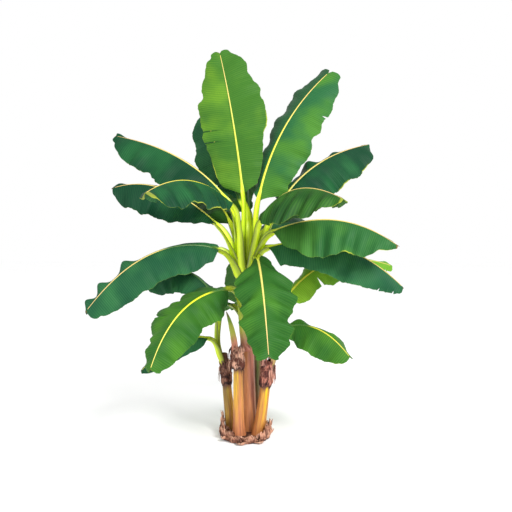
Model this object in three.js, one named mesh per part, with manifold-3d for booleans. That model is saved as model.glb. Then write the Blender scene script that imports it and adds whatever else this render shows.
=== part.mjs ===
// A clump-forming banana plant: five stems from one root, their leaves with stalk, midrib and blade in one
// skin, the torn dry sheaths on the shorter stems and the ring of old leaf bases round the foot.
// Millimetres and degrees, +Z up, +X to the right and -Y to the front. The origin is the centre of the main
// stem's flat cut at ground level.
import * as THREE from "three";
import { mergeVertices } from "three/addons/utils/BufferGeometryUtils.js";
import Module from "manifold-3d";

const wasm = await Module();
wasm.setup();

// Clearances
const GAP = 0.3; // where one piece meets another
const CROWN_GAP = 1.3; // between leaf stalks that lie on each other at a slant
const WELD = 1e-3;

// Leaf stalks, midribs and blades
const STALK_FOOT = 33; // half the width of a leaf stalk where it leaves its stem
const STALK_NECK = 22; // half its width where the blade begins
const STALK_BROAD = 1.3; // the stalk's rim stands out past its channel by this share
const FOOT_OFFSET = 24; // from the stem's axis to the foot of a leaf stalk
const FOOT_LEAN = 0.4; // how far a leaf stalk leans out of its stem, as a slope
const RIB_TIP = 5; // half the width of the midrib at the tip of the blade
const RIB_DEPTH = 1.15; // depth of the midrib below the blade, as a share of its half width
const CHANNEL = [0.25, 0.2, 0.1, -0.15, 0.1, 0.2, 0.25]; // heights across its upper side
const KEEL = [-0.1, -0.55, -0.8, -1.1, -0.8, -0.55, -0.1]; // heights across its lower side
const BLADE_THICKNESS = 0.011; // as a share of the blade's length
const BLADE_ONSET = 12; // the stalk has turned into blade one twelfth of the way along
const SWEEP = [-0.1, 0.28]; // the side veins lean back at the blade's base and forward at its tip
const BASE_FULLNESS = 2.6; // how soon the blade gains its width, and loses it again
const TIP_FULLNESS = 2.2;
const ROUNDNESS = 0.66;
const RIPPLE = 16; // height of the waves along the blade's edge
const RIPPLE_LENGTH = 330;
const RIPPLE_ONSET = 1.5; // the waves grow with this power of the distance from the midrib
const STALK_STEPS = 5;
const BLADE_STEPS = 11;

// Stems: the place of the foot and the top, the height, and the radius at the foot, above the flare and at
// the top.
const STEMS = {
  main: { foot: [0, 0], top: [-30, 0], height: 1340, footRadius: 62, radius: 54, topRadius: 40 },
  front_left: { foot: [-84, -100], top: [-96, -108], height: 640, footRadius: 60, radius: 54, topRadius: 44 },
  front_right: { foot: [64, -104], top: [148, -120], height: 600, footRadius: 58, radius: 53, topRadius: 38 },
  back_left: { foot: [-154, 50], top: [-212, 60], height: 640, footRadius: 50, radius: 42, topRadius: 30 },
  back_right: { foot: [68, 92], top: [60, 104], height: 850, footRadius: 50, radius: 44, topRadius: 32 },
};
const STEM_SIDES = 12;
const STEM_STEPS = 6;
const FLARE_HEIGHT = 90;
const STEM_TAPER = 1.4; // most of the taper is near the top

// Each leaf leaves its stem at a height. Its midrib runs from the neck, where the blade begins, over the
// middle to the tip. The upper side looks toward face, fold lets the left and the right half hang, half is
// the greatest width of each, widest tells where along the blade that is, and blunt how wide the tip ends.
// A leaf with a sweep of its own has side veins that lean toward its tip all along.
const LEAVES = [
  { name: "tall", stem: "main", at: 1300,
    neck: [-55, 40, 1900], middle: [-140, 110, 2525], tip: [-250, 200, 3085],
    half: [265, 265], widest: 0.46, blunt: 0.38, face: [-1, -10, 2], fold: [4, 4] },
  { name: "upper_right", stem: "main", at: 1290,
    neck: [70, 40, 1890], middle: [270, 150, 2450], tip: [655, 300, 2950],
    half: [225, 256], widest: 0.52, blunt: 0.42, face: [-3, -9, 4], fold: [38, 16] },
  { name: "behind_tall", stem: "main", at: 1280,
    neck: [-65, 140, 1865], middle: [-240, 340, 2205], tip: [-400, 620, 2690],
    half: [240, 240], widest: 0.5, blunt: 0.25, face: [-3, -8, 5], fold: [8, 8] },
  { name: "arched_left", stem: "main", at: 1270,
    neck: [-175, 20, 1865], middle: [-560, 50, 2205], tip: [-1105, 180, 2405],
    half: [275, 270], widest: 0.48, blunt: 0.3, face: [0, -4, 10], fold: [42, 42] },
  { name: "arched_right", stem: "main", at: 1270,
    neck: [235, 80, 1835], middle: [565, 260, 2185], tip: [1045, 560, 2390],
    half: [280, 290], widest: 0.5, blunt: 0.3, face: [0, -4, 10], fold: [42, 42] },
  { name: "small_right", stem: "main", at: 1260,
    neck: [80, -90, 1695], middle: [320, -420, 1920], tip: [635, -780, 1835],
    half: [260, 304], widest: 0.42, blunt: 0.25, face: [0, -2, 10], fold: [42, 42] },
  { name: "small_left", stem: "main", at: 1260,
    neck: [-140, -80, 1830], middle: [-420, -430, 1985], tip: [-685, -850, 1870],
    half: [265, 240], widest: 0.5, blunt: 0.25, face: [0, -2, 10], fold: [42, 42] },
  { name: "middle_left", stem: "main", at: 1240,
    neck: [-240, -20, 1660], middle: [-665, -80, 1950], tip: [-1055, -150, 1955],
    half: [250, 250], widest: 0.7, blunt: 0.3, face: [0, -4, 10], fold: [42, 42] },
  { name: "long_right", stem: "main", at: 1240,
    neck: [165, -80, 1615], middle: [645, -260, 1705], tip: [1085, -420, 1515],
    half: [280, 310], widest: 0.38, blunt: 0.2, face: [0, -4, 10], fold: [42, 42] },
  { name: "low_right", stem: "main", at: 1210,
    neck: [190, -40, 1490], middle: [695, -80, 1500], tip: [1190, -150, 1185],
    half: [260, 265], widest: 0.5, blunt: 0.25, face: [0, -4, 10], fold: [42, 42] },
  { name: "back_high", stem: "main", at: 1250,
    neck: [-10, 120, 1755], middle: [-40, 520, 2095], tip: [-105, 980, 2230],
    half: [240, 240], widest: 0.46, blunt: 0.25, face: [0, -1, 10], fold: [28, 28] },
  { name: "back_right", stem: "main", at: 1230,
    neck: [95, 150, 1615], middle: [330, 560, 1825], tip: [545, 1000, 1660],
    half: [250, 250], widest: 0.46, blunt: 0.25, face: [0, 0, 10], fold: [34, 34] },
  { name: "back_left", stem: "main", at: 1230,
    neck: [-150, 150, 1665], middle: [-405, 560, 1940], tip: [-755, 1000, 1810],
    half: [260, 260], widest: 0.46, blunt: 0.25, face: [0, 0, 10], fold: [30, 30] },
  { name: "long_left", stem: "main", at: 1200,
    neck: [-260, -50, 1475], middle: [-745, -220, 1450], tip: [-1205, -400, 1030],
    half: [264, 265], widest: 0.52, blunt: 0.4, face: [0, -4, 10], fold: [42, 42] },
  { name: "back", stem: "main", at: 1180,
    neck: [0, 200, 1450], middle: [30, 560, 1220], tip: [200, 860, 715],
    half: [230, 230], widest: 0.46, blunt: 0.25, face: [0, 5, 5], fold: [25, 25] },
  { name: "front", stem: "main", at: 1170,
    neck: [55, -130, 1430], middle: [95, -480, 1215], tip: [135, -740, 760],
    half: [250, 206], widest: 0.42, blunt: 0.32, face: [0, -5, 5], fold: [22, 22],
    sweep: [0.4, 0.44] },
  { name: "back_low_left", stem: "main", at: 880,
    neck: [-140, 130, 1015], middle: [-420, 480, 975], tip: [-680, 820, 655],
    half: [200, 200], widest: 0.46, blunt: 0.25, face: [0, 0, 10], fold: [30, 30] },
  { name: "front_left", stem: "main", at: 720,
    neck: [-160, -140, 1175], middle: [-480, -470, 1050], tip: [-670, -780, 680],
    half: [240, 256], widest: 0.46, blunt: 0.28, face: [-1, -7, 7], fold: [36, 36] },
  { name: "pale_right", stem: "back_right", at: 800,
    neck: [265, 100, 1035], middle: [665, 200, 1360], tip: [1200, 300, 1330],
    half: [190, 195], widest: 0.32, blunt: 0.3, face: [0, -5, 8], fold: [35, 35] },
  { name: "sucker_right", stem: "front_right", at: 560,
    neck: [260, -130, 865], middle: [505, -260, 900], tip: [735, -420, 720],
    half: [230, 235], widest: 0.44, blunt: 0.35, face: [0, -4, 10], fold: [40, 40] },
  { name: "sucker_upper_left", stem: "back_left", at: 610,
    neck: [-310, 60, 1130], middle: [-570, 90, 1305], tip: [-835, 120, 1155],
    half: [200, 200], widest: 0.46, blunt: 0.25, face: [0, -4, 10], fold: [42, 42] },
  { name: "sucker_lower_left", stem: "back_left", at: 550,
    neck: [-320, -15, 765], middle: [-570, -60, 745], tip: [-855, -100, 525],
    half: [140, 170], widest: 0.46, blunt: 0.25, face: [0, -4, 10], fold: [42, 42] },
];

// The bare leaf stalk that curves up out of the front left sheath and tapers to a point
const BARE_STALK = { from: [-104, -110, 560], over: [-118, -110, 830], to: [-186, -112, 995] };
const BARE_FOOT = 26; // radius
const BARE_POINT = 3;
const BARE_SIDES = 8;
const BARE_STEPS = 6;
const BARE_TAPER = 3; // most of the taper is near the point

// The torn dry sheaths round the ends of the shorter stems: a ragged cup each. A row tells how high up it
// lies, how far out in walls, and how much of the tear it follows.
const SHEATHS = {
  front_left: { from: 520, to: 722, wall: 14, flaps: 5, ragged: 30 },
  front_right: { from: 395, to: 630, wall: 16, flaps: 4, ragged: 38 },
  back_left: { from: 385, to: 660, wall: 12, flaps: 4, ragged: 28 },
};
const SHEATH_SIDES = 16;
const SHEATH_ROWS = [
  { up: 0, out: 0.5, rag: -0.5 },
  { up: 0.06, out: 1, rag: -0.3 },
  { up: 0.45, out: 1.15, rag: 0 },
  { up: 0.8, out: 1.3, rag: 0.4 },
  { up: 1, out: 1.1, rag: 1 },
  { up: 0.86, out: -0.6, rag: 0.6 },
  { up: 0.8, out: -2.2, rag: 0 },
];
const SHEATH_FLOOR_RADIUS = 4;

// The low mound of old leaf bases round the foot, its rim standing up in broad scales. A row tells how far
// out it lies, how high between and on the scales, and whether it belongs to the standing rim.
const FOOT_CENTRE = [-36, -60];
const FOOT_REACH = [214, 248];
const FOOT_SIDES = 36;
const FOOT_SCALES = 9;
const FOOT_UNEVEN = 0.03;
const FOOT_FRONT_DROP = 22;
const FOOT_SPIKE = { heading: 152, spread: 10, rise: 60 };
const FOOT_ROWS = [
  { share: 0.97, low: 0, high: 0, rim: false, uneven: false },
  { share: 1.02, low: 12, high: 24, rim: false, uneven: true },
  { share: 1.0, low: 40, high: 88, rim: true, uneven: true },
  { share: 0.93, low: 38, high: 84, rim: true, uneven: true },
  { share: 0.84, low: 34, high: 48, rim: false, uneven: false },
  { share: 0.45, low: 34, high: 34, rim: false, uneven: false },
];

const COLOURS = { stem: 0xb8792f, foot: 0xa87858, leaf: 0x3f8a3a, stalk: 0xa08a50, sheath: 0x6b4038 };

const radians = THREE.MathUtils.degToRad;
const lerp = THREE.MathUtils.lerp;
const clamp = THREE.MathUtils.clamp;
const vector = (list) => new THREE.Vector3(...list);
const onCircle = (k, sides) => (2 * Math.PI * k) / sides;

// A point on a stem's axis, which runs straight from its foot to its top.
function stemAxis(stem, height) {
  const share = height / stem.height;
  const x = lerp(stem.foot[0], stem.top[0], share);
  const y = lerp(stem.foot[1], stem.top[1], share);
  return new THREE.Vector3(x, y, height);
}

function stemRadius(stem, height) {
  const share = Math.min(height / stem.height, 1);
  const flare = (stem.footRadius - stem.radius) * Math.exp(-height / FLARE_HEIGHT);
  return lerp(stem.radius, stem.topRadius, Math.pow(share, STEM_TAPER)) + flare;
}

// The midrib of a leaf in two curves: the stalk up from the stem, and the blade over to its tip.
function midribOf(leaf) {
  const neck = vector(leaf.neck);
  const tip = vector(leaf.tip);
  const bend = vector(leaf.middle).multiplyScalar(2).addScaledVector(neck, -0.5).addScaledVector(tip, -0.5);
  const blade = new THREE.QuadraticBezierCurve3(neck, bend, tip);
  const foot = stemAxis(STEMS[leaf.stem], leaf.at);
  const outward = new THREE.Vector3(neck.x - foot.x, neck.y - foot.y, 0).normalize();
  foot.addScaledVector(outward, FOOT_OFFSET);
  const reach = foot.distanceTo(neck) / 3;
  const rising = new THREE.Vector3(0, 0, 1).addScaledVector(outward, FOOT_LEAN).normalize();
  const arriving = bend.clone().sub(neck).normalize();
  const first = foot.clone().addScaledVector(rising, reach);
  const second = neck.clone().addScaledVector(arriving, -reach);
  const stalk = new THREE.CubicBezierCurve3(foot, first, second, neck);
  return { stalk, blade, stalkLength: stalk.getLength(), bladeLength: blade.getLength() };
}

// The midrib's place and directions at a distance from the neck, negative along the stalk.
function midribAt(leaf, midrib, along) {
  const curve = along < 0 ? midrib.stalk : midrib.blade;
  const share = along < 0 ? 1 + along / midrib.stalkLength : along / midrib.bladeLength;
  const onCurve = clamp(share, 0, 1);
  const forward = curve.getTangentAt(onCurve);
  const place = curve.getPointAt(onCurve);
  const length = along < 0 ? midrib.stalkLength : midrib.bladeLength;
  place.addScaledVector(forward, (share - onCurve) * length);
  const normal = vector(leaf.face).normalize();
  normal.addScaledVector(forward, -normal.dot(forward)).normalize();
  const right = new THREE.Vector3().crossVectors(forward, normal);
  return { place, normal, right };
}

// Half the width of a blade at a share of its length, as a share of its greatest half width.
function outline(share, widest, blunt) {
  const before = share < widest;
  const away = before ? (widest - share) / widest : (share - widest) / (1 - widest);
  const full = Math.pow(1 - Math.pow(away, before ? BASE_FULLNESS : TIP_FULLNESS), ROUNDNESS);
  return before ? full : Math.max(full, blunt);
}

// One closed loop across the leaf: over the upper skin from left edge to right, and back underneath.
function leafRing(leaf, midrib, along, grown) {
  const onStalk = clamp(1 + along / midrib.stalkLength, 0, 1);
  const onBlade = clamp(along / midrib.bladeLength, 0, 1);
  const rib = lerp(STALK_FOOT, STALK_NECK, onStalk) + (RIB_TIP - STALK_NECK) * onBlade + grown;
  const bladeness = clamp(onBlade * BLADE_ONSET, 0, 1);
  const shape = outline(onBlade, leaf.widest, leaf.blunt) * bladeness;
  const left = Math.max(rib * STALK_BROAD, leaf.half[0] * shape + grown);
  const right = Math.max(rib * STALK_BROAD, leaf.half[1] * shape + grown);
  const thickness = BLADE_THICKNESS * midrib.bladeLength;
  const sweep = along > 0 ? lerp(...(leaf.sweep ?? SWEEP), onBlade) : 0;
  const wave = onBlade > 0 ? (2 * Math.PI * along) / RIPPLE_LENGTH + leaf.at : 0;
  const across = [-left, -(left + rib) / 2, -rib, 0, rib, (right + rib) / 2, right];
  const point = (u, k, upper) => {
    const span = Math.abs(u);
    const sign = Math.sign(u);
    const { place, normal, right: side } = midribAt(leaf, midrib, along + sweep * span);
    const droop = radians(leaf.fold[u < 0 ? 0 : 1]) * bladeness;
    const out = side.clone().multiplyScalar(sign * Math.cos(droop));
    out.addScaledVector(normal, -Math.sin(droop));
    const face = normal.clone().multiplyScalar(Math.cos(droop));
    face.addScaledVector(side, sign * Math.sin(droop));
    const reach = Math.max(span - rib, 0);
    const edge = span / (u < 0 ? left : right);
    const lift = reach > 0 ? RIPPLE * bladeness * Math.pow(edge, RIPPLE_ONSET) * Math.sin(wave + sign) : 0;
    const stalkHeight = (upper ? CHANNEL[k] : KEEL[k]) * rib;
    const bladeHeight = upper ? thickness / 2 : -thickness / 2 - (u === 0 ? RIB_DEPTH * rib : 0);
    const height = lerp(stalkHeight, bladeHeight, bladeness) + (upper ? grown : -grown);
    place.addScaledVector(side, sign * Math.min(span, rib));
    return place.addScaledVector(out, reach).addScaledVector(face, height + lift);
  };
  const over = across.map((u, k) => point(u, k, true));
  const under = across.map((u, k) => point(u, k, false)).reverse();
  return over.concat(under);
}

// A closed skin through loops with equal numbers of points. Each end is closed from the first half of
// its points to the ones across from them.
function loft(rings) {
  const count = rings[0].length;
  const positions = rings.flat().flatMap((p) => [p.x, p.y, p.z]);
  const index = [];
  for (let i = 0; i + 1 < rings.length; i++)
    for (let k = 0; k < count; k++) {
      const a = i * count + k;
      const b = i * count + ((k + 1) % count);
      index.push(a, b, b + count, a, b + count, a + count);
    }
  const close = (start, flip) => {
    for (let k = 0; k + 1 < count / 2; k++) {
      const a = start + k;
      const b = start + k + 1;
      const c = start + count - 2 - k;
      const d = start + count - 1 - k;
      if (flip) index.push(a, b, c, a, c, d);
      else index.push(a, c, b, a, d, c);
    }
  };
  close(0, false);
  close((rings.length - 1) * count, true);
  const geometry = new THREE.BufferGeometry();
  geometry.setAttribute("position", new THREE.Float32BufferAttribute(positions, 3));
  geometry.setIndex(index);
  return geometry;
}

function leafSkin(leaf, grown = 0) {
  const midrib = midribOf(leaf);
  const rings = [leafRing(leaf, midrib, -midrib.stalkLength - grown, grown)];
  for (let i = 1; i < STALK_STEPS; i++)
    rings.push(leafRing(leaf, midrib, -midrib.stalkLength * (1 - i / STALK_STEPS), grown));
  for (let i = 0; i <= BLADE_STEPS; i++)
    rings.push(leafRing(leaf, midrib, (midrib.bladeLength * i) / BLADE_STEPS, grown));
  return loft(rings);
}

// A stem in round loops, with the flare at its foot.
function stemSkin(stem, grown = 0) {
  const rings = [];
  for (let i = 0; i <= STEM_STEPS; i++) {
    const height = (stem.height * i) / STEM_STEPS;
    const radius = stemRadius(stem, height) + grown;
    const centre = stemAxis(stem, height);
    if (i === 0) centre.z -= grown;
    if (i === STEM_STEPS) centre.z += grown;
    const ring = [];
    for (let k = 0; k < STEM_SIDES; k++) {
      const angle = onCircle(k, STEM_SIDES);
      ring.push(centre.clone().add(new THREE.Vector3(radius * Math.cos(angle), radius * Math.sin(angle), 0)));
    }
    rings.push(ring);
  }
  return loft(rings);
}

function sheathSkin(name) {
  const stem = STEMS[name];
  const sheath = SHEATHS[name];
  const rings = SHEATH_ROWS.map((row) => {
    const height = lerp(sheath.from, sheath.to, row.up);
    const centre = stemAxis(stem, Math.min(height, stem.height));
    const radius = stemRadius(stem, height);
    const ring = [];
    for (let k = 0; k < SHEATH_SIDES; k++) {
      const angle = onCircle(k, SHEATH_SIDES);
      const tear = Math.sin(sheath.flaps * angle + sheath.from) + 0.5 * Math.sin(3 * angle + 1);
      const out = Math.max(radius + row.out * sheath.wall * (1 + tear / 4), SHEATH_FLOOR_RADIUS);
      const z = height + row.rag * sheath.ragged * tear;
      ring.push(new THREE.Vector3(centre.x + out * Math.cos(angle), centre.y + out * Math.sin(angle), z));
    }
    return ring;
  });
  return loft(rings);
}

function footSkin() {
  const rings = FOOT_ROWS.map((row) => {
    const ring = [];
    for (let k = 0; k < FOOT_SIDES; k++) {
      const angle = onCircle(k, FOOT_SIDES);
      const scale = 0.5 + 0.5 * Math.sin(FOOT_SCALES * angle + 1.1 * Math.sin(2 * angle));
      const front = 0.5 - 0.5 * Math.sin(angle);
      const toSpike = Math.abs(THREE.MathUtils.radToDeg(angle) - FOOT_SPIKE.heading) / FOOT_SPIKE.spread;
      const rise = FOOT_SPIKE.rise * Math.max(0, 1 - toSpike) - FOOT_FRONT_DROP * front;
      const height = lerp(row.low, row.high, scale) + (row.rim ? Math.max(rise, -row.low / 2) : 0);
      const share = row.share + (row.uneven ? FOOT_UNEVEN * Math.sin(5 * angle + 2) : 0);
      const x = FOOT_CENTRE[0] + FOOT_REACH[0] * share * Math.cos(angle);
      const y = FOOT_CENTRE[1] + FOOT_REACH[1] * share * Math.sin(angle);
      ring.push(new THREE.Vector3(x, y, height));
    }
    return ring;
  });
  return loft(rings);
}

function bareStalkSkin(grown = 0) {
  const ends = [BARE_STALK.from, BARE_STALK.over, BARE_STALK.to].map(vector);
  const curve = new THREE.QuadraticBezierCurve3(...ends);
  const rings = [];
  for (let i = 0; i <= BARE_STEPS; i++) {
    const share = i / BARE_STEPS;
    const forward = curve.getTangent(share);
    const side = new THREE.Vector3(forward.z, 0, -forward.x).normalize();
    const front = new THREE.Vector3().crossVectors(forward, side);
    const radius = lerp(BARE_FOOT, BARE_POINT, Math.pow(share, BARE_TAPER)) + grown;
    const ring = [];
    for (let k = 0; k < BARE_SIDES; k++) {
      const angle = onCircle(k, BARE_SIDES);
      const place = curve.getPoint(share).addScaledVector(forward, i === 0 ? -grown : grown);
      place.addScaledVector(side, radius * Math.cos(angle));
      ring.push(place.addScaledVector(front, radius * Math.sin(angle)));
    }
    rings.push(ring);
  }
  return loft(rings);
}

function solidOf(geometry) {
  const merged = mergeVertices(geometry, WELD);
  const vertProperties = new Float32Array(merged.attributes.position.array);
  const triVerts = new Uint32Array(merged.index.array);
  return new wasm.Manifold(new wasm.Mesh({ numProp: 3, vertProperties, triVerts }));
}

function geometryOf(solid) {
  const mesh = solid.getMesh();
  const geometry = new THREE.BufferGeometry();
  geometry.setAttribute("position", new THREE.Float32BufferAttribute(mesh.vertProperties, mesh.numProp));
  geometry.setIndex([...mesh.triVerts]);
  return geometry;
}

// A skin's solid, cut clear of all the grown ones and freed of loose scraps.
function cutClear(skin, neighbours) {
  let solid = solidOf(skin);
  for (const other of neighbours) solid = solid.subtract(other);
  const whole = solid.decompose().reduce((best, part) => (part.volume() > best.volume() ? part : best));
  return geometryOf(whole);
}

const plant = new THREE.Group();
plant.name = "banana_plant";
function add(name, geometry, color) {
  const mesh = new THREE.Mesh(geometry, new THREE.MeshStandardMaterial({ color, roughness: 0.6 }));
  mesh.name = name;
  plant.add(mesh);
}

const grownSkins = [];
for (const [name, stem] of Object.entries(STEMS)) {
  add("stem_" + name, stemSkin(stem), COLOURS.stem);
  grownSkins.push(solidOf(stemSkin(stem, GAP)));
}
add("foot_scales", cutClear(footSkin(), grownSkins), COLOURS.foot);

// From the youngest leaf outward, each is cut clear of the ones inside it.
for (const leaf of LEAVES) {
  add("leaf_" + leaf.name, cutClear(leafSkin(leaf), grownSkins), COLOURS.leaf);
  grownSkins.push(solidOf(leafSkin(leaf, CROWN_GAP)));
}

add("bare_stalk", cutClear(bareStalkSkin(), grownSkins), COLOURS.stalk);
grownSkins.push(solidOf(bareStalkSkin(GAP)));
for (const name of Object.keys(SHEATHS))
  add("sheath_" + name, cutClear(sheathSkin(name), grownSkins), COLOURS.sheath);

export default plant;
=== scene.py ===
import math

import bpy
import numpy as np
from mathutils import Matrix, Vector


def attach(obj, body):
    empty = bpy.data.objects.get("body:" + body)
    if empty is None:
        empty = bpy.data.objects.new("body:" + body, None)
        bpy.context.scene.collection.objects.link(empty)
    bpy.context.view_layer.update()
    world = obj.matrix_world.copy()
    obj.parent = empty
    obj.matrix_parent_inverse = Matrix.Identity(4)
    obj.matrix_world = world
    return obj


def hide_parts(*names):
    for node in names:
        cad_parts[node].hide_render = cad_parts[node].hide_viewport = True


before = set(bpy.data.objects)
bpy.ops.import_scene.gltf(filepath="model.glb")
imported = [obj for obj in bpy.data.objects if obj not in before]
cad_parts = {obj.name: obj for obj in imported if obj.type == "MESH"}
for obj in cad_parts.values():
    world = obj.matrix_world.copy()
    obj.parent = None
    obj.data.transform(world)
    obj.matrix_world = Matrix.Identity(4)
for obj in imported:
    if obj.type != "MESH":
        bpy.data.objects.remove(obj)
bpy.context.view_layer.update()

# The view: the plant stands five metres in front of an almost level eye, at the height of the crown's middle and
# a little to the right of the main stem.
eye = Vector((0.048, -5.0, 1.6))
crown_middle = Vector((0.048, 0.0, 1.425))
bpy.ops.object.select_all(action="DESELECT")
bpy.ops.object.camera_add(location=eye)
camera = bpy.context.object
camera.rotation_euler = (crown_middle - eye).to_track_quat("-Z", "Y").to_euler()
camera.data.lens = 44
camera.data.sensor_width = 36
camera.data.clip_end = 100
bpy.context.scene.camera = camera


# The studio: a pale floor and a white surround, with one broad soft lamp high on the right and a weaker one on
# the left, both turned to the middle of the crown.
def seen(red, green, blue):
    """A colour as the eye reads it, from 0 to 255, as a shader takes it."""
    shares = np.array((red, green, blue)) / 255
    linear = np.where(shares <= 0.04045, shares / 12.92, ((shares + 0.055) / 1.055) ** 2.4)
    return (*linear.tolist(), 1.0)


def wire(tree, kind, inputs, **settings):
    """A shader node with its inputs set to values or joined to other nodes' outputs."""
    made = tree.nodes.new("ShaderNode" + kind)
    for name, value in settings.items():
        setattr(made, name, value)
    for name, value in inputs.items():
        if isinstance(value, bpy.types.NodeSocket):
            tree.links.new(value, made.inputs[name])
        else:
            made.inputs[name].default_value = value
    return made


def finish_named(name):
    """A new material and its node tree, with the shader left to be joined to the output."""
    material = bpy.data.materials.new(name)
    material.use_nodes = True
    material.node_tree.nodes.clear()
    return material, material.node_tree


floor_finish, tree = finish_named("pale floor")
grain = wire(tree, "TexNoise", {"Scale": 3.0, "Detail": 4.0})
tone = wire(tree, "Mix", {"Factor": grain.outputs["Fac"], "A": seen(254, 254, 254), "B": seen(255, 255, 255)},
            data_type="RGBA")
coat = wire(tree, "BsdfPrincipled", {"Base Color": tone.outputs["Result"], "Roughness": 0.9})
wire(tree, "OutputMaterial", {"Surface": coat.outputs["BSDF"]})
FLOOR_WIDTH = 60
bpy.ops.mesh.primitive_plane_add(size=FLOOR_WIDTH)
floor = bpy.context.object
floor.name = "floor"
floor.data.materials.append(floor_finish)

bpy.context.scene.view_settings.view_transform = "Standard"
surround = bpy.context.scene.world or bpy.data.worlds.new("surround")
bpy.context.scene.world = surround
surround.use_nodes = True
glow = surround.node_tree.nodes["Background"]
glow.inputs["Color"].default_value = (1, 1, 1, 1)
glow.inputs["Strength"].default_value = 1.0
STRONG_LAMP = ((3.4, -4.8, 5.0), 2.0, 470)
WEAK_LAMP = ((-4.2, -4.0, 3.0), 2.4, 80)
for place, size, power in (STRONG_LAMP, WEAK_LAMP):
    bpy.ops.object.light_add(type="AREA", location=place)
    lamp = bpy.context.object
    lamp.data.size = size
    lamp.data.energy = power
    lamp.rotation_euler = (crown_middle - Vector(place)).to_track_quat("-Z", "Y").to_euler()

# The stems: five upright false trunks, each a roll of long leaf sheaths wrapped round one another, smooth and
# ribbed, with the free edge of every sheath as a line that winds up the stem. They stand close together and
# flare where they leave the root. Sizes are in millimetres.
# The skin browns above the collar, where a dry sheath begins, partly as painted shade under the sheath. It blushes
# on the side that faces the heading blushed, in degrees, partly as painted shade on the side turned from the light.
# Slim is how much thinner a stem is where its outer layers are gone.
BARE_TO_THE_TOP = 3000
STEMS = {
    "main": {"foot": (0, 0), "top": (-30, 0), "height": 1340, "foot_radius": 62, "radius": 54, "top_radius": 40,
             "low": (206, 138, 84), "middle": (174, 106, 88), "high": (150, 150, 70), "streak": (122, 66, 58),
             "collar": BARE_TO_THE_TOP, "blushed": 200, "slim": 0},
    "front_left": {"foot": (-84, -100), "top": (-96, -108), "height": 640, "foot_radius": 60, "radius": 54,
                   "top_radius": 44, "low": (204, 130, 86), "middle": (240, 180, 54), "high": (244, 200, 24),
                   "streak": (186, 112, 84), "collar": 552, "blushed": -25, "slim": 10},
    "front_right": {"foot": (64, -104), "top": (148, -120), "height": 600, "foot_radius": 58, "radius": 53,
                    "top_radius": 38, "low": (188, 118, 66), "middle": (234, 182, 16), "high": (236, 198, 12),
                    "streak": (168, 98, 54), "collar": 418, "blushed": 200, "slim": 7},
    "back_left": {"foot": (-154, 50), "top": (-212, 60), "height": 640, "foot_radius": 50, "radius": 42,
                  "top_radius": 30, "low": (204, 152, 68), "middle": (200, 174, 38), "high": (100, 124, 42),
                  "streak": (128, 82, 56), "collar": 394, "blushed": -10, "slim": 0},
    "back_right": {"foot": (68, 92), "top": (60, 104), "height": 850, "foot_radius": 50, "radius": 44,
                   "top_radius": 32, "low": (156, 106, 78), "middle": (128, 132, 88), "high": (110, 150, 60),
                   "streak": (132, 84, 70), "collar": BARE_TO_THE_TOP, "blushed": 0, "slim": 0},
}
FLARE_HEIGHT = 90
STEM_TAPER = 1.4
STEM_COLUMNS = 120
STEM_ROWS = 90
# The free edges of the sheaths: how many show round a stem, how far each stands off, how fast they wind up it in
# turns to a metre, how far they are turned from one stem to the next, and how much they waver.
WRAPS = 3
WRAP_STEP = 3.4
WRAP_TURN = 0.16
WRAP_START = 0.35
WRAP_WAVER = 0.04
SKIN_RIB = 0.7
# A slim stem thins away over this height above the ground and fills out again under its dry sheath.
SLIM_ONSET = 180
SLIM_END = 60
# Solid pieces and thin ones keep an edge where their faces meet at more than these degrees, and a rolled sheet's
# points are merged where they lie nearer to each other than this, in metres.
SOLID_EDGE = 60
THIN_EDGE = 50
POLE_MERGE = 0.00002
# The flat foot and the rounded top of a stem: distances from its end, and shares of its radius there.
FOOT_RIM = ((0, 0), (0, 0.97), (3, 1))
TOP_RIM = ((9, 0.93), (4, 0.72), (0, 0))


def stem_axis(stem, height):
    share = np.asarray(height, float) / stem["height"]
    x = stem["foot"][0] + (stem["top"][0] - stem["foot"][0]) * share
    y = stem["foot"][1] + (stem["top"][1] - stem["foot"][1]) * share
    return np.stack((x, y, np.asarray(height, float)), -1)


def round_line(centre, radius, angle):
    """Points at a radius and an angle round a centre line."""
    return centre + np.stack((radius * np.cos(angle), radius * np.sin(angle), 0 * angle), -1)


def stem_radius(stem, height):
    share = np.clip(np.asarray(height, float) / stem["height"], 0, 1)
    flare = (stem["foot_radius"] - stem["radius"]) * np.exp(-np.asarray(height, float) / FLARE_HEIGHT)
    return stem["radius"] + (stem["top_radius"] - stem["radius"]) * share**STEM_TAPER + flare


def wander(value, start):
    """A smooth uneven wave between about -1 and 1, another for each start."""
    value = np.asarray(value, float)
    return (np.sin(value + start) + 0.6 * np.sin(2.3 * value + 2.1 * start) + 0.4 * np.sin(5.2 * value + start)) / 1.6


def smooth(value):
    held = np.clip(value, 0, 1)
    return held * held * (3 - 2 * held)


def grid_sheet(name, columns, rows, place):
    """A grid primitive whose points are laid out by place(across, along), both from 0 to 1."""
    bpy.ops.object.select_all(action="DESELECT")
    bpy.ops.mesh.primitive_grid_add(x_subdivisions=columns, y_subdivisions=rows, size=1)
    sheet = bpy.context.object
    sheet.name = name
    sheet.data.name = name
    points = np.empty(3 * len(sheet.data.vertices))
    sheet.data.vertices.foreach_get("co", points)
    points = points.reshape(-1, 3)
    across = np.clip(points[:, 0] + 0.5, 0, 1)
    along = np.clip(points[:, 1] + 0.5, 0, 1)
    laid = np.ascontiguousarray(place(across, along), dtype=float) / 1000
    sheet.data.vertices.foreach_set("co", laid.ravel())
    sheet.data.update()
    return sheet, across, along


def lay_map(sheet, u, v):
    """The sheet's own map, in metres or shares, which its finish follows."""
    chart = sheet.data.uv_layers[0]
    chart.name = "surface"
    corners = np.empty(len(sheet.data.loops), int)
    sheet.data.loops.foreach_get("vertex_index", corners)
    chart.data.foreach_set("uv", np.stack((u[corners], v[corners]), -1).ravel())


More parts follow.
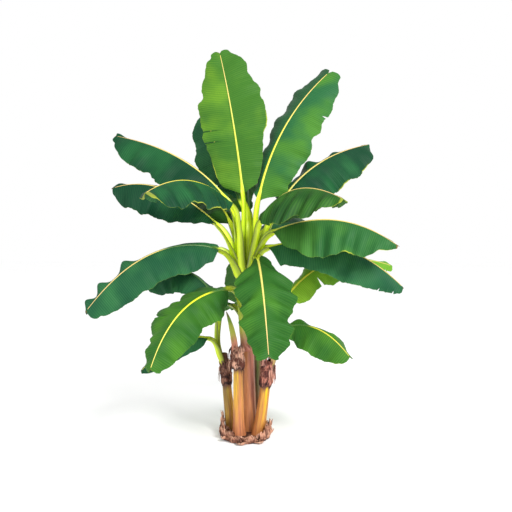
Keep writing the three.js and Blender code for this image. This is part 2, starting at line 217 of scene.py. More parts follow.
def mark(sheet, name, values):
    """A value at each point, which the finish reads."""
    layer = sheet.data.attributes.new(name, "FLOAT", "POINT")
    layer.data.foreach_set("value", np.ascontiguousarray(values, dtype=np.float32))


def pick(pieces):
    """Selects these pieces alone, with the first one active."""
    bpy.ops.object.select_all(action="DESELECT")
    for piece in pieces:
        piece.select_set(True)
    bpy.context.view_layer.objects.active = pieces[0]


def close_up(sheet, end_sides=0):
    """Merges the seam and the poles of a rolled sheet, fills an end of so many sides and turns its faces out."""
    pick([sheet])
    bpy.ops.object.mode_set(mode="EDIT")
    bpy.ops.mesh.select_all(action="SELECT")
    bpy.ops.mesh.remove_doubles(threshold=POLE_MERGE)
    if end_sides:
        bpy.ops.mesh.fill_holes(sides=end_sides)
    bpy.ops.mesh.normals_make_consistent(inside=False)
    bpy.ops.object.mode_set(mode="OBJECT")


def shade(sheet, edge_degrees):
    """Smooth shading, with an edge left where faces meet at more than so many degrees."""
    pick([sheet])
    bpy.ops.object.shade_smooth_by_angle(angle=math.radians(edge_degrees))


def join(pieces, name):
    pick(pieces)
    bpy.ops.object.join()
    pieces[0].name = name
    pieces[0].data.name = name
    return pieces[0]


def new_skin(name, tones, sizes=()):
    """A shader node group that turns tones and sizes into a colour, a roughness and a relief."""
    group = bpy.data.node_groups.new(name, "ShaderNodeTree")
    sockets = [(tone, "INPUT", "Color") for tone in tones] + [(size, "INPUT", "Float") for size in sizes]
    sockets += [("Color", "OUTPUT", "Color"), ("Roughness", "OUTPUT", "Float"), ("Relief", "OUTPUT", "Float")]
    for socket, side, kind in sockets:
        group.interface.new_socket(name=socket, in_out=side, socket_type="NodeSocket" + kind)
    return group, group.nodes.new("NodeGroupInput").outputs


def put_out(group, colour, roughness, relief):
    """Hands the colour, the roughness and the relief of a skin to its materials."""
    end = group.nodes.new("NodeGroupOutput")
    for socket, value in (("Color", colour), ("Roughness", roughness), ("Relief", relief)):
        group.links.new(value, end.inputs[socket])


def cover(tree, colour, roughness, relief, strength, depth, shine=0.5):
    """The coat of a finish, joined to the output, with the strength and the depth in metres of its relief."""
    bump = wire(tree, "Bump", {"Height": relief, "Strength": strength, "Distance": depth})
    coat = wire(tree, "BsdfPrincipled", {"Base Color": colour, "Roughness": roughness, "Specular IOR Level": shine,
                                         "Normal": bump.outputs["Normal"]})
    wire(tree, "OutputMaterial", {"Surface": coat.outputs["BSDF"]})


def wear(name, skin, values, strength, depth, shine, duller=0.0):
    """A finish that wears a skin with the given tones and sizes."""
    material, tree = finish_named(name)
    worn = wire(tree, "Group", values, node_tree=skin).outputs
    roughness = math_node(tree, "ADD", worn["Roughness"], duller)
    cover(tree, worn["Color"], roughness, worn["Relief"], strength, depth, shine)
    return material


def own_map(tree):
    return wire(tree, "UVMap", {}, uv_map="surface").outputs["UV"]


def marked(tree, name):
    """The value that mark() has given each point."""
    return wire(tree, "Attribute", {}, attribute_name=name, attribute_type="GEOMETRY").outputs["Fac"]


def blend(tree, factor, first, second):
    return wire(tree, "Mix", {"Factor": factor, "A": first, "B": second}, data_type="RGBA").outputs["Result"]


def math_node(tree, operation, first, second=0.0):
    return wire(tree, "Math", {0: first, 1: second}, operation=operation).outputs["Value"]


def unsettle(tree, value, noise, amount):
    """The value, raised or lowered by the noise by up to half the amount."""
    swing = math_node(tree, "MULTIPLY", math_node(tree, "SUBTRACT", noise, 0.5), amount)
    return math_node(tree, "ADD", value, swing)


def ramp(tree, value, low, high, bottom=0.0, top=1.0):
    return wire(tree, "MapRange", {"Value": value, "From Min": low, "From Max": high, "To Min": bottom,
                                   "To Max": top}, interpolation_type="SMOOTHSTEP").outputs["Result"]


def tinge(tree, colour, tone, value, low, high, bottom=0.0, top=1.0):
    """Lays a tone over the colour, with a strength that goes from bottom to top as the value goes from low to high."""
    return blend(tree, ramp(tree, value, low, high, bottom, top), colour, tone)


def fibres(tree, chart, across, along, detail=3.0):
    """Noise drawn out into threads on the piece's own map."""
    split = wire(tree, "SeparateXYZ", {"Vector": chart})
    threads = wire(tree, "CombineXYZ", {"X": math_node(tree, "MULTIPLY", split.outputs["X"], across),
                                        "Y": math_node(tree, "MULTIPLY", split.outputs["Y"], along)})
    noise = wire(tree, "TexNoise", {"Vector": threads.outputs["Vector"], "Scale": 1.0, "Detail": detail})
    return noise.outputs["Fac"]


# The skin: ochre low down, then yellow or green, with brown streaks and threads, and painted shade under each free
# edge.
group, given = new_skin("wrapped skin", ("Low", "Middle", "High", "Streak"), ("Height", "Collar"))
chart = own_map(group)
rise = wire(group, "SeparateXYZ", {"Vector": chart}).outputs["Y"]
uneven = fibres(group, chart, 22.0, 1.6)
share = unsettle(group, math_node(group, "DIVIDE", rise, given["Height"]), uneven, 0.5)
colour = tinge(group, given["Low"], given["Middle"], share, 0.0, 0.5)
colour = tinge(group, colour, given["High"], share, 0.4, 0.8)
streaks = math_node(group, "MULTIPLY", ramp(group, fibres(group, chart, 34.0, 2.2), 0.4, 0.64), 0.72)
colour = blend(group, streaks, colour, given["Streak"])
# Partly a real blush, partly painted shade: the side toward the heading blushed takes on the low tone.
blushed = unsettle(group, marked(group, "blushed"), uneven, 1.0)
colour = tinge(group, colour, given["Low"], blushed, 0.5, 0.9, 0.0, 0.65)
threads = fibres(group, chart, 110.0, 2.6)
colour = tinge(group, colour, seen(112, 66, 48), threads, 0.54, 0.72, 0.0, 0.55)
# Painted shade: the stem goes darker just under the free edge of each sheath.
painted_shade_under_edge = math_node(group, "MULTIPLY", ramp(group, marked(group, "wrap"), 0.8, 1.0), 0.4)
colour = blend(group, painted_shade_under_edge, colour, given["Streak"])
# Partly real browning, partly painted shade: the stem darkens toward the dry sheath's collar and is brown above it.
browned_and_shaded_past_collar = unsettle(group, math_node(group, "SUBTRACT", rise, given["Collar"]), uneven, 0.12)
colour = tinge(group, colour, seen(104, 60, 44), browned_and_shaded_past_collar, -0.06, 0.0)
fine = fibres(group, chart, 420.0, 9.0)
shade_of = ramp(group, fine, 0.3, 0.75, 0.72, 1.08)
grey = wire(group, "CombineColor", {"Red": shade_of, "Green": shade_of, "Blue": shade_of}).outputs["Color"]
colour = wire(group, "Mix", {"Factor": 1.0, "A": colour, "B": grey}, data_type="RGBA",
              blend_type="MULTIPLY").outputs["Result"]
put_out(group, colour, ramp(group, fine, 0.3, 0.8, 0.36, 0.58), fine)
wrapped_skin = group


def stem_finish(name, stem):
    tones = {tone: seen(*stem[tone.lower()]) for tone in ("Low", "Middle", "High", "Streak")}
    sizes = {size: stem[size.lower()] / 1000 for size in ("Height", "Collar")}
    return wear(name + " stem skin", wrapped_skin, tones | sizes, strength=0.5, depth=0.002, shine=0.4)


for number, (name, stem) in enumerate(STEMS.items()):
    # From the pole of the flat foot over its rim, up the stem and over the rounded top to the upper pole.
    heights = np.concatenate(([rise for rise, _ in FOOT_RIM], np.linspace(12, stem["height"] - 14, STEM_ROWS),
                              [stem["height"] - drop for drop, _ in TOP_RIM]))
    inset = np.concatenate(([part for _, part in FOOT_RIM], np.ones(STEM_ROWS), [part for _, part in TOP_RIM]))
    laid = {}

    def stem_point(across, along):
        row = np.rint(along * (len(heights) - 1)).astype(int)
        angle = 2 * math.pi * across + math.pi / 2
        height = heights[row]
        # Each sheath is thick at its free edge and thins away round the stem to the next one.
        phase = (WRAPS * across + WRAP_TURN * height / 1000 * WRAPS + WRAP_START * number
                 + WRAP_WAVER * wander(height / 90, number)) % 1
        step = WRAP_STEP * (1 - smooth(phase * 1.6)) - WRAP_STEP * 0.6
        ribs = SKIN_RIB * np.sin(angle * 19 + number) * np.sin(angle * 7 + height / 160)
        bared = smooth((height + 20) / SLIM_ONSET) * (1 - smooth((height - stem["collar"] + 30) / SLIM_END))
        radius = (stem_radius(stem, height) - stem["slim"] * bared + step + ribs) * inset[row]
        laid.update(angle=angle, height=height, phase=phase)
        return round_line(stem_axis(stem, height), radius, angle)

    trunk, across, along = grid_sheet(name + "_stem", STEM_COLUMNS, len(heights) - 1, stem_point)
    lay_map(trunk, across * 2 * math.pi * stem["radius"] / 1000 + number, laid["height"] / 1000)
    mark(trunk, "wrap", laid["phase"])
    mark(trunk, "blushed", 0.5 + 0.5 * np.cos(laid["angle"] - math.radians(stem["blushed"])))
    close_up(trunk)
    shade(trunk, SOLID_EDGE)
    trunk.data.materials.append(stem_finish(name, stem))
    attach(trunk, "root")
    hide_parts("stem_" + name)

# The foot: the low mound in which the stems root, ringed by the dry bases of leaves that were shed or cut away.
# Each base is a broad stiff scale, brown and fibrous outside and paler within, curled and split at its top.
FOOT_CENTRE = (-36, -60)
FOOT_REACH = (214, 248)
MOUND_HEIGHT = 18
MOUND_ROUGHNESS = 5
MOUND_GRID = (132, 44)
SCALE_GRID = (10, 9)
# How much a base narrows toward its top, how deep its top is torn and how far its sides curl in, as shares.
BASE_TAPER = 0.22
BASE_JAG = 0.17
BASE_CUP = 0.2
BASE_THICKNESS = 5
LOWEST_BASE = 1.5
# The rings: how many bases, how far out as a share of the reach, and the ranges of their height, width, lean and
# curl. A ring's bases are lower at the front.
OUTER_RING = {"count": 14, "share": 0.9, "tall": (48, 92), "wide": (80, 150), "lean": (22, 56), "curl": (-60, 10)}
MIDDLE_RING = {"count": 13, "share": 0.76, "tall": (54, 96), "wide": (70, 120), "lean": (4, 34), "curl": (-36, 44)}
INNER_RING = {"count": 12, "share": 0.6, "tall": (40, 70), "wide": (56, 92), "lean": (0, 40), "curl": (-30, 50)}
# How far a base strays from its even place in the ring, in places, and from the ring's own share.
BASE_SWING = (-0.3, 0.3)
BASE_DRIFT = (-0.04, 0.02)
FRONT_LOWERING = 0.5
# Single bases at the front: heading round the foot, place from the middle, height, width, lean and curl.
STANDING_SCALES = ((158, 0.88, 152, 22, 2, 12), (172, 0.95, 120, 84, 4, -22), (190, 0.86, 100, 80, -6, 14),
                   (206, 0.93, 86, 100, 24, -34), (222, 0.9, 60, 74, 40, 30), (352, 0.88, 124, 84, 4, 14),
                   (336, 0.93, 104, 96, 12, -26), (318, 0.92, 76, 96, 36, -70), (284, 0.9, 66, 96, 48, -120),
                   (300, 0.9, 50, 84, 62, 30), (262, 0.93, 46, 92, 50, 50), (244, 0.92, 52, 92, 54, -70))


def mound_point(across, along):
    angle = 2 * math.pi * across + math.pi / 2
    share = np.interp(along, (0, 0.2, 0.26, 0.34, 1), (0, 0.88, 0.91, 0.86, 0))
    height = np.interp(along, (0, 0.2, 0.26, 0.34, 0.6, 1), (0, 0, 8, 14, MOUND_HEIGHT, MOUND_HEIGHT + 4))
    rough = MOUND_ROUGHNESS * wander(angle * 9 + share * 14, 2) * np.clip(height / 20, 0, 1) * np.clip(share * 3, 0, 1)
    share = share * (1 + 0.018 * wander(angle * 6, 5))
    return np.stack((FOOT_CENTRE[0] + FOOT_REACH[0] * share * np.cos(angle),
                     FOOT_CENTRE[1] + FOOT_REACH[1] * share * np.sin(angle), np.maximum(height + rough, 0)), -1)


def ways_at(heading):
    """The way outwards at a heading in degrees, and the way round."""
    angle = math.radians(heading)
    return np.array((math.cos(angle), math.sin(angle), 0)), np.array((-math.sin(angle), math.cos(angle), 0))


def scale_of(heading, share, tall, wide, lean, curl, seed):
    """One leaf base on the rim, leaning out by lean and bending on by curl toward its top."""
    out, round_rim = ways_at(heading)
    foot = np.array((*FOOT_CENTRE, 0)) + np.array((*FOOT_REACH, 0)) * share * out

    def scale_point(across, along):
        a = 2 * across - 1
        width = wide / 2 * (1 - BASE_TAPER * along) * np.sqrt(np.clip(1 - (along * 0.97) ** 5, 0, 1))
        bent = math.radians(lean) + math.radians(curl) * along
        start = math.radians(lean)
        turn = math.radians(curl) if abs(curl) > 1 else 0.02
        outward = tall * (np.cos(start) - np.cos(start + turn * along)) / turn
        upward = tall * (np.sin(start + turn * along) - np.sin(start)) / turn
        jag = BASE_JAG * tall * wander(a * 7.5, seed) * along**2
        cup = -wide * BASE_CUP * a * a
        crumple = (2 + 7 * along) * wander(a * 5 + along * 3, seed + 3)
        reach = outward + cup * np.cos(bent) + crumple
        rise = upward + jag - cup * np.sin(bent) * 0.5
        points = foot + out * reach[:, None] + round_rim * (a * width)[:, None]
        points[:, 2] = np.maximum(rise, LOWEST_BASE)
        return points

    scale, across, along = grid_sheet("scale", *SCALE_GRID, scale_point)
    lay_map(scale, across * wide / 1000 + seed, along * tall / 1000)
    mark(scale, "rim", along)
    return scale


mound, across, along = grid_sheet("mound", *MOUND_GRID, mound_point)
lay_map(mound, across * 1.4, along * 0.5)
mark(mound, "rim", np.full(len(along), 0.35))
close_up(mound)
shade(mound, SOLID_EDGE)
dice = np.random.default_rng(11)
scales = [scale_of(*shape, seed=40 + k) for k, shape in enumerate(STANDING_SCALES)]
for ring in (OUTER_RING, MIDDLE_RING, INNER_RING):
    for k in range(ring["count"]):
        heading = 360 * (k + dice.uniform(*BASE_SWING)) / ring["count"]
        front = 0.5 - 0.5 * math.sin(math.radians(heading))
        tall = dice.uniform(*ring["tall"]) * (1 - FRONT_LOWERING * front**2)
        share = ring["share"] + dice.uniform(*BASE_DRIFT)
        scales.append(scale_of(heading, share, tall, dice.uniform(*ring["wide"]), dice.uniform(*ring["lean"]),
                               dice.uniform(*ring["curl"]), seed=k + 10 * ring["share"]))
scales = join(scales, "leaf_bases")

# The dry skin: brown with pale blotches and dark fibres, with painted shade where a sheath is rooted and a painted
# highlight at its rim.
group, given = new_skin("dry sheath skin", ("Pale", "Brown", "Dark"))
place = wire(group, "TexCoord", {}).outputs["Object"]
blotch = wire(group, "TexNoise", {"Vector": place, "Scale": 17.0, "Detail": 2.5}).outputs["Fac"]
colour = tinge(group, given["Brown"], given["Pale"], blotch, 0.44, 0.6)
threads = fibres(group, own_map(group), 130.0, 11.0)
colour = tinge(group, colour, given["Dark"], threads, 0.46, 0.66)
# Painted shade low on each scale and flap, where it is rooted, and a painted highlight toward its rim.
rim = unsettle(group, marked(group, "rim"), blotch, 0.5)
colour = tinge(group, colour, given["Dark"], rim, 0.0, 0.4, 0.9, 0.0)
colour = tinge(group, colour, given["Pale"], rim, 0.7, 1.0, 0.0, 0.5)
put_out(group, colour, ramp(group, threads, 0.3, 0.7, 0.6, 0.85), math_node(group, "ADD", threads, blotch))
dry_skin = group


def dry_finish(name, pale, brown, dark):
    tones = {"Pale": seen(*pale), "Brown": seen(*brown), "Dark": seen(*dark)}
    return wear(name, dry_skin, tones, strength=0.7, depth=0.003, shine=0.25)


def thicken(sheet, thickness, rim=0):
    """Gives a sheet a thickness in millimetres, with its second finish on the other side."""
    bpy.context.view_layer.objects.active = sheet
    wall = sheet.modifiers.new("thickness", "SOLIDIFY")
    wall.thickness = thickness / 1000
    wall.offset = 0
    wall.material_offset = 1
    wall.material_offset_rim = rim
    bpy.ops.object.modifier_apply(modifier=wall.name)


scales.data.materials.append(dry_finish("leaf base outside", (196, 144, 118), (124, 78, 60), (50, 28, 22)))
scales.data.materials.append(dry_finish("leaf base inside", (216, 172, 146), (154, 104, 82), (64, 36, 28)))
thicken(scales, BASE_THICKNESS, rim=1)
mound.data.materials.append(dry_finish("mound", (120, 80, 60), (84, 52, 40), (50, 30, 26)))
foot = join([scales, mound], "foot")
for point in foot.data.vertices:
    point.co.z = max(point.co.z, 0)
shade(foot, THIN_EDGE)
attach(foot, "root")
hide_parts("foot_scales")

# The leaves: each is a long stalk, grooved on the side toward the stem, that goes on as the midrib under one
# broad blade, thin and glossy, with fine side veins that run out to the edge and let it tear there. The foot
# of the stalk clasps its stem and runs down it as one of the sheaths. Sizes are in millimetres.

# Stalk and midrib: half their breadth at the foot, the neck and the tip, how far the foot lies from the stem's
# axis, and how much it leans out as it rises.
STALK_FOOT = 33
STALK_NECK = 22
RIB_TIP = 5
FOOT_OFFSET = 24
FOOT_LEAN = 0.4
MIDRIB_POINTS = 240
# Their section, as shares of that half breadth: the groove's lips and depth, the stalk's belly, and the top and
# the keel of the midrib.
GROOVE_LIPS = 0.35
GROOVE_DEPTH = 0.8
BELLY_DEPTH = 1.1
VEIN_TOP = 0.26
KEEL_DEPTH = 1.15
# The midrib narrows by this share over the first ninth of the blade.
RIB_NARROWING = 0.5
RIB_ONSET = 9
# The blade starts over the first twelfth of its length, sunk into the stalk's groove and never narrower than this,
# both as shares of the midrib. Its outline fills out by these powers of the distance from its broadest place, to
# the base and to the tip.
BLADE_ONSET = 12
BLADE_SINK = 0.8
LEAST_WIDTH = 0.8
BASE_FULLNESS = 2.6
TIP_FULLNESS = 2.2
ROUNDNESS = 0.66
TIP_ROUNDING = 0.035
# The blade's long ripples, fine lobes, uneven edge and small dents, each with its size and its length. The
# ripples grow by this power toward the edge.
RIPPLE = 16
RIPPLE_LENGTH = 330
RIPPLE_ONSET = 1.5
LOBE_DEPTH = 3
LOBE_LENGTH = 70
EDGE_WAVER = 0.012
EDGE_WAVER_LENGTH = 17
DENT = 4
DENT_LENGTH = 21
# How fast the waves grow from the midrib, how unevenly they follow one another, and where between the midrib and
# the edge a swelling is highest.
WAVE_ONSET = 1.6
WAVE_WAVER = 1.3
WAVE_WAVER_LENGTH = 260
PLEAT_PLACE = 0.2
# Each half is curled along the side veins by this many degrees, beside its fold.
EDGE_CURL = 26
# The slit at the tip starts at this share of the length and reaches its depth this far from the midrib.
NOTCH_ONSET = 0.86
NOTCH_SLOPE = 18
# How far along the blade a tear still moves its lips, and how much the far lip sinks as the near one rises.
TEAR_REACH = 55
LIP_REACH = 80
LIP_SINK = 0.4
TEAR_ROW = 0.0008
BLADE_ROWS = 150
BLADE_COLUMNS = 36
BLADE_CROWDING = 0.72
BLADE_THICKNESS = 1.8
# How withered the tip and the lips of a tear are, and over what length.
TIP_WITHERING = 0.9
TIP_FADE = 0.03
LIP_WITHERING = 0.35
LIP_FADE = 4
# The stalk's foot: how much wider it clasps at its lower end in degrees, where its skin starts to open above the
# foot and over what length it does. On the main stem each lower leaf's foot lies further out than the one above.
CLASP_SPREAD = 70
OPENING_START = 110
OPENING_LENGTH = 170
INNER_LAYER = 8
SUCKER_LAYER = 1.5
HIGHEST_LEAF = 1300
LAYER_DROP = 40
# The foot's skin: how deep its inner side lies in the stem, how much it bulges, and how far its end sinks in.
FOOT_SINK = 4
FOOT_BULGE = 3
TAIL_SINK = 5
# Rows of the stalk's sheet on the clasping foot, the stalk and the midrib, which ends just short of the tip.
TAIL_ROWS = 16
STALK_ROWS = 26
RIB_ROWS = 80
RIB_END = 0.985
STALK_COLUMNS = 28
END_SIDES = 60
LOW_FADE = 230

# What a leaf has unless its own row says otherwise. Side is -1 for the left half and 1 for the right one, with the
# tip up and the upper face in view, and a place is a share of the blade's length, from its base to its tip.
PLAIN_LEAF = {
    "stem": "main",
    "widest": 0.46,  # place where the blade is broadest
    "blunt": 0.25,  # width that is left toward the tip, as a share of the greatest
    "face": (0, -4, 10),  # the way that the upper face looks
    "fold": (42, 42),  # how far the left and the right half hang from the midrib, in degrees
    "painted_shading": (0, 0, 0),  # how much lighter the left half, the right half and the base are, in painted light and shade
    "gilt": (),  # yellowed stretches of the edge: side, place and reach
    "dry_tip": 0.02,  # length of the withered tip, as a share
    "ripe_tip": 0,  # length of the yellowed tip, as a share
    "stout": 1,  # how much thicker the stalk is than the usual one
    "broad": 1.36,  # how much broader the stalk is than the midrib
    "tail": 300,  # how far the foot of the stalk runs down the stem
    "clasp": 62,  # how far the foot reaches round the stem to either side, in degrees
    "fade": 90,  # how far the tone of the foot rises up the stalk
    "sweep": (-0.1, 0.28),  # how far the side veins lean forward at the base and at the tip
    "notch": 10,  # depth of the slit between the two halves at the tip
    "waves": (4, 140),  # height and spacing of the waves along the edges
    "left_edge": ((0, 1), (1, 1)),  # lobes and bays of the edge: place and share of the width there
    "right_edge": ((0, 1), (1, 1)),
    "tears": (),  # side, place, how far out the tear starts, its gap and how far its lips stand apart
    "bumps": (),  # swellings beside the midrib: side, place, reach and height
}
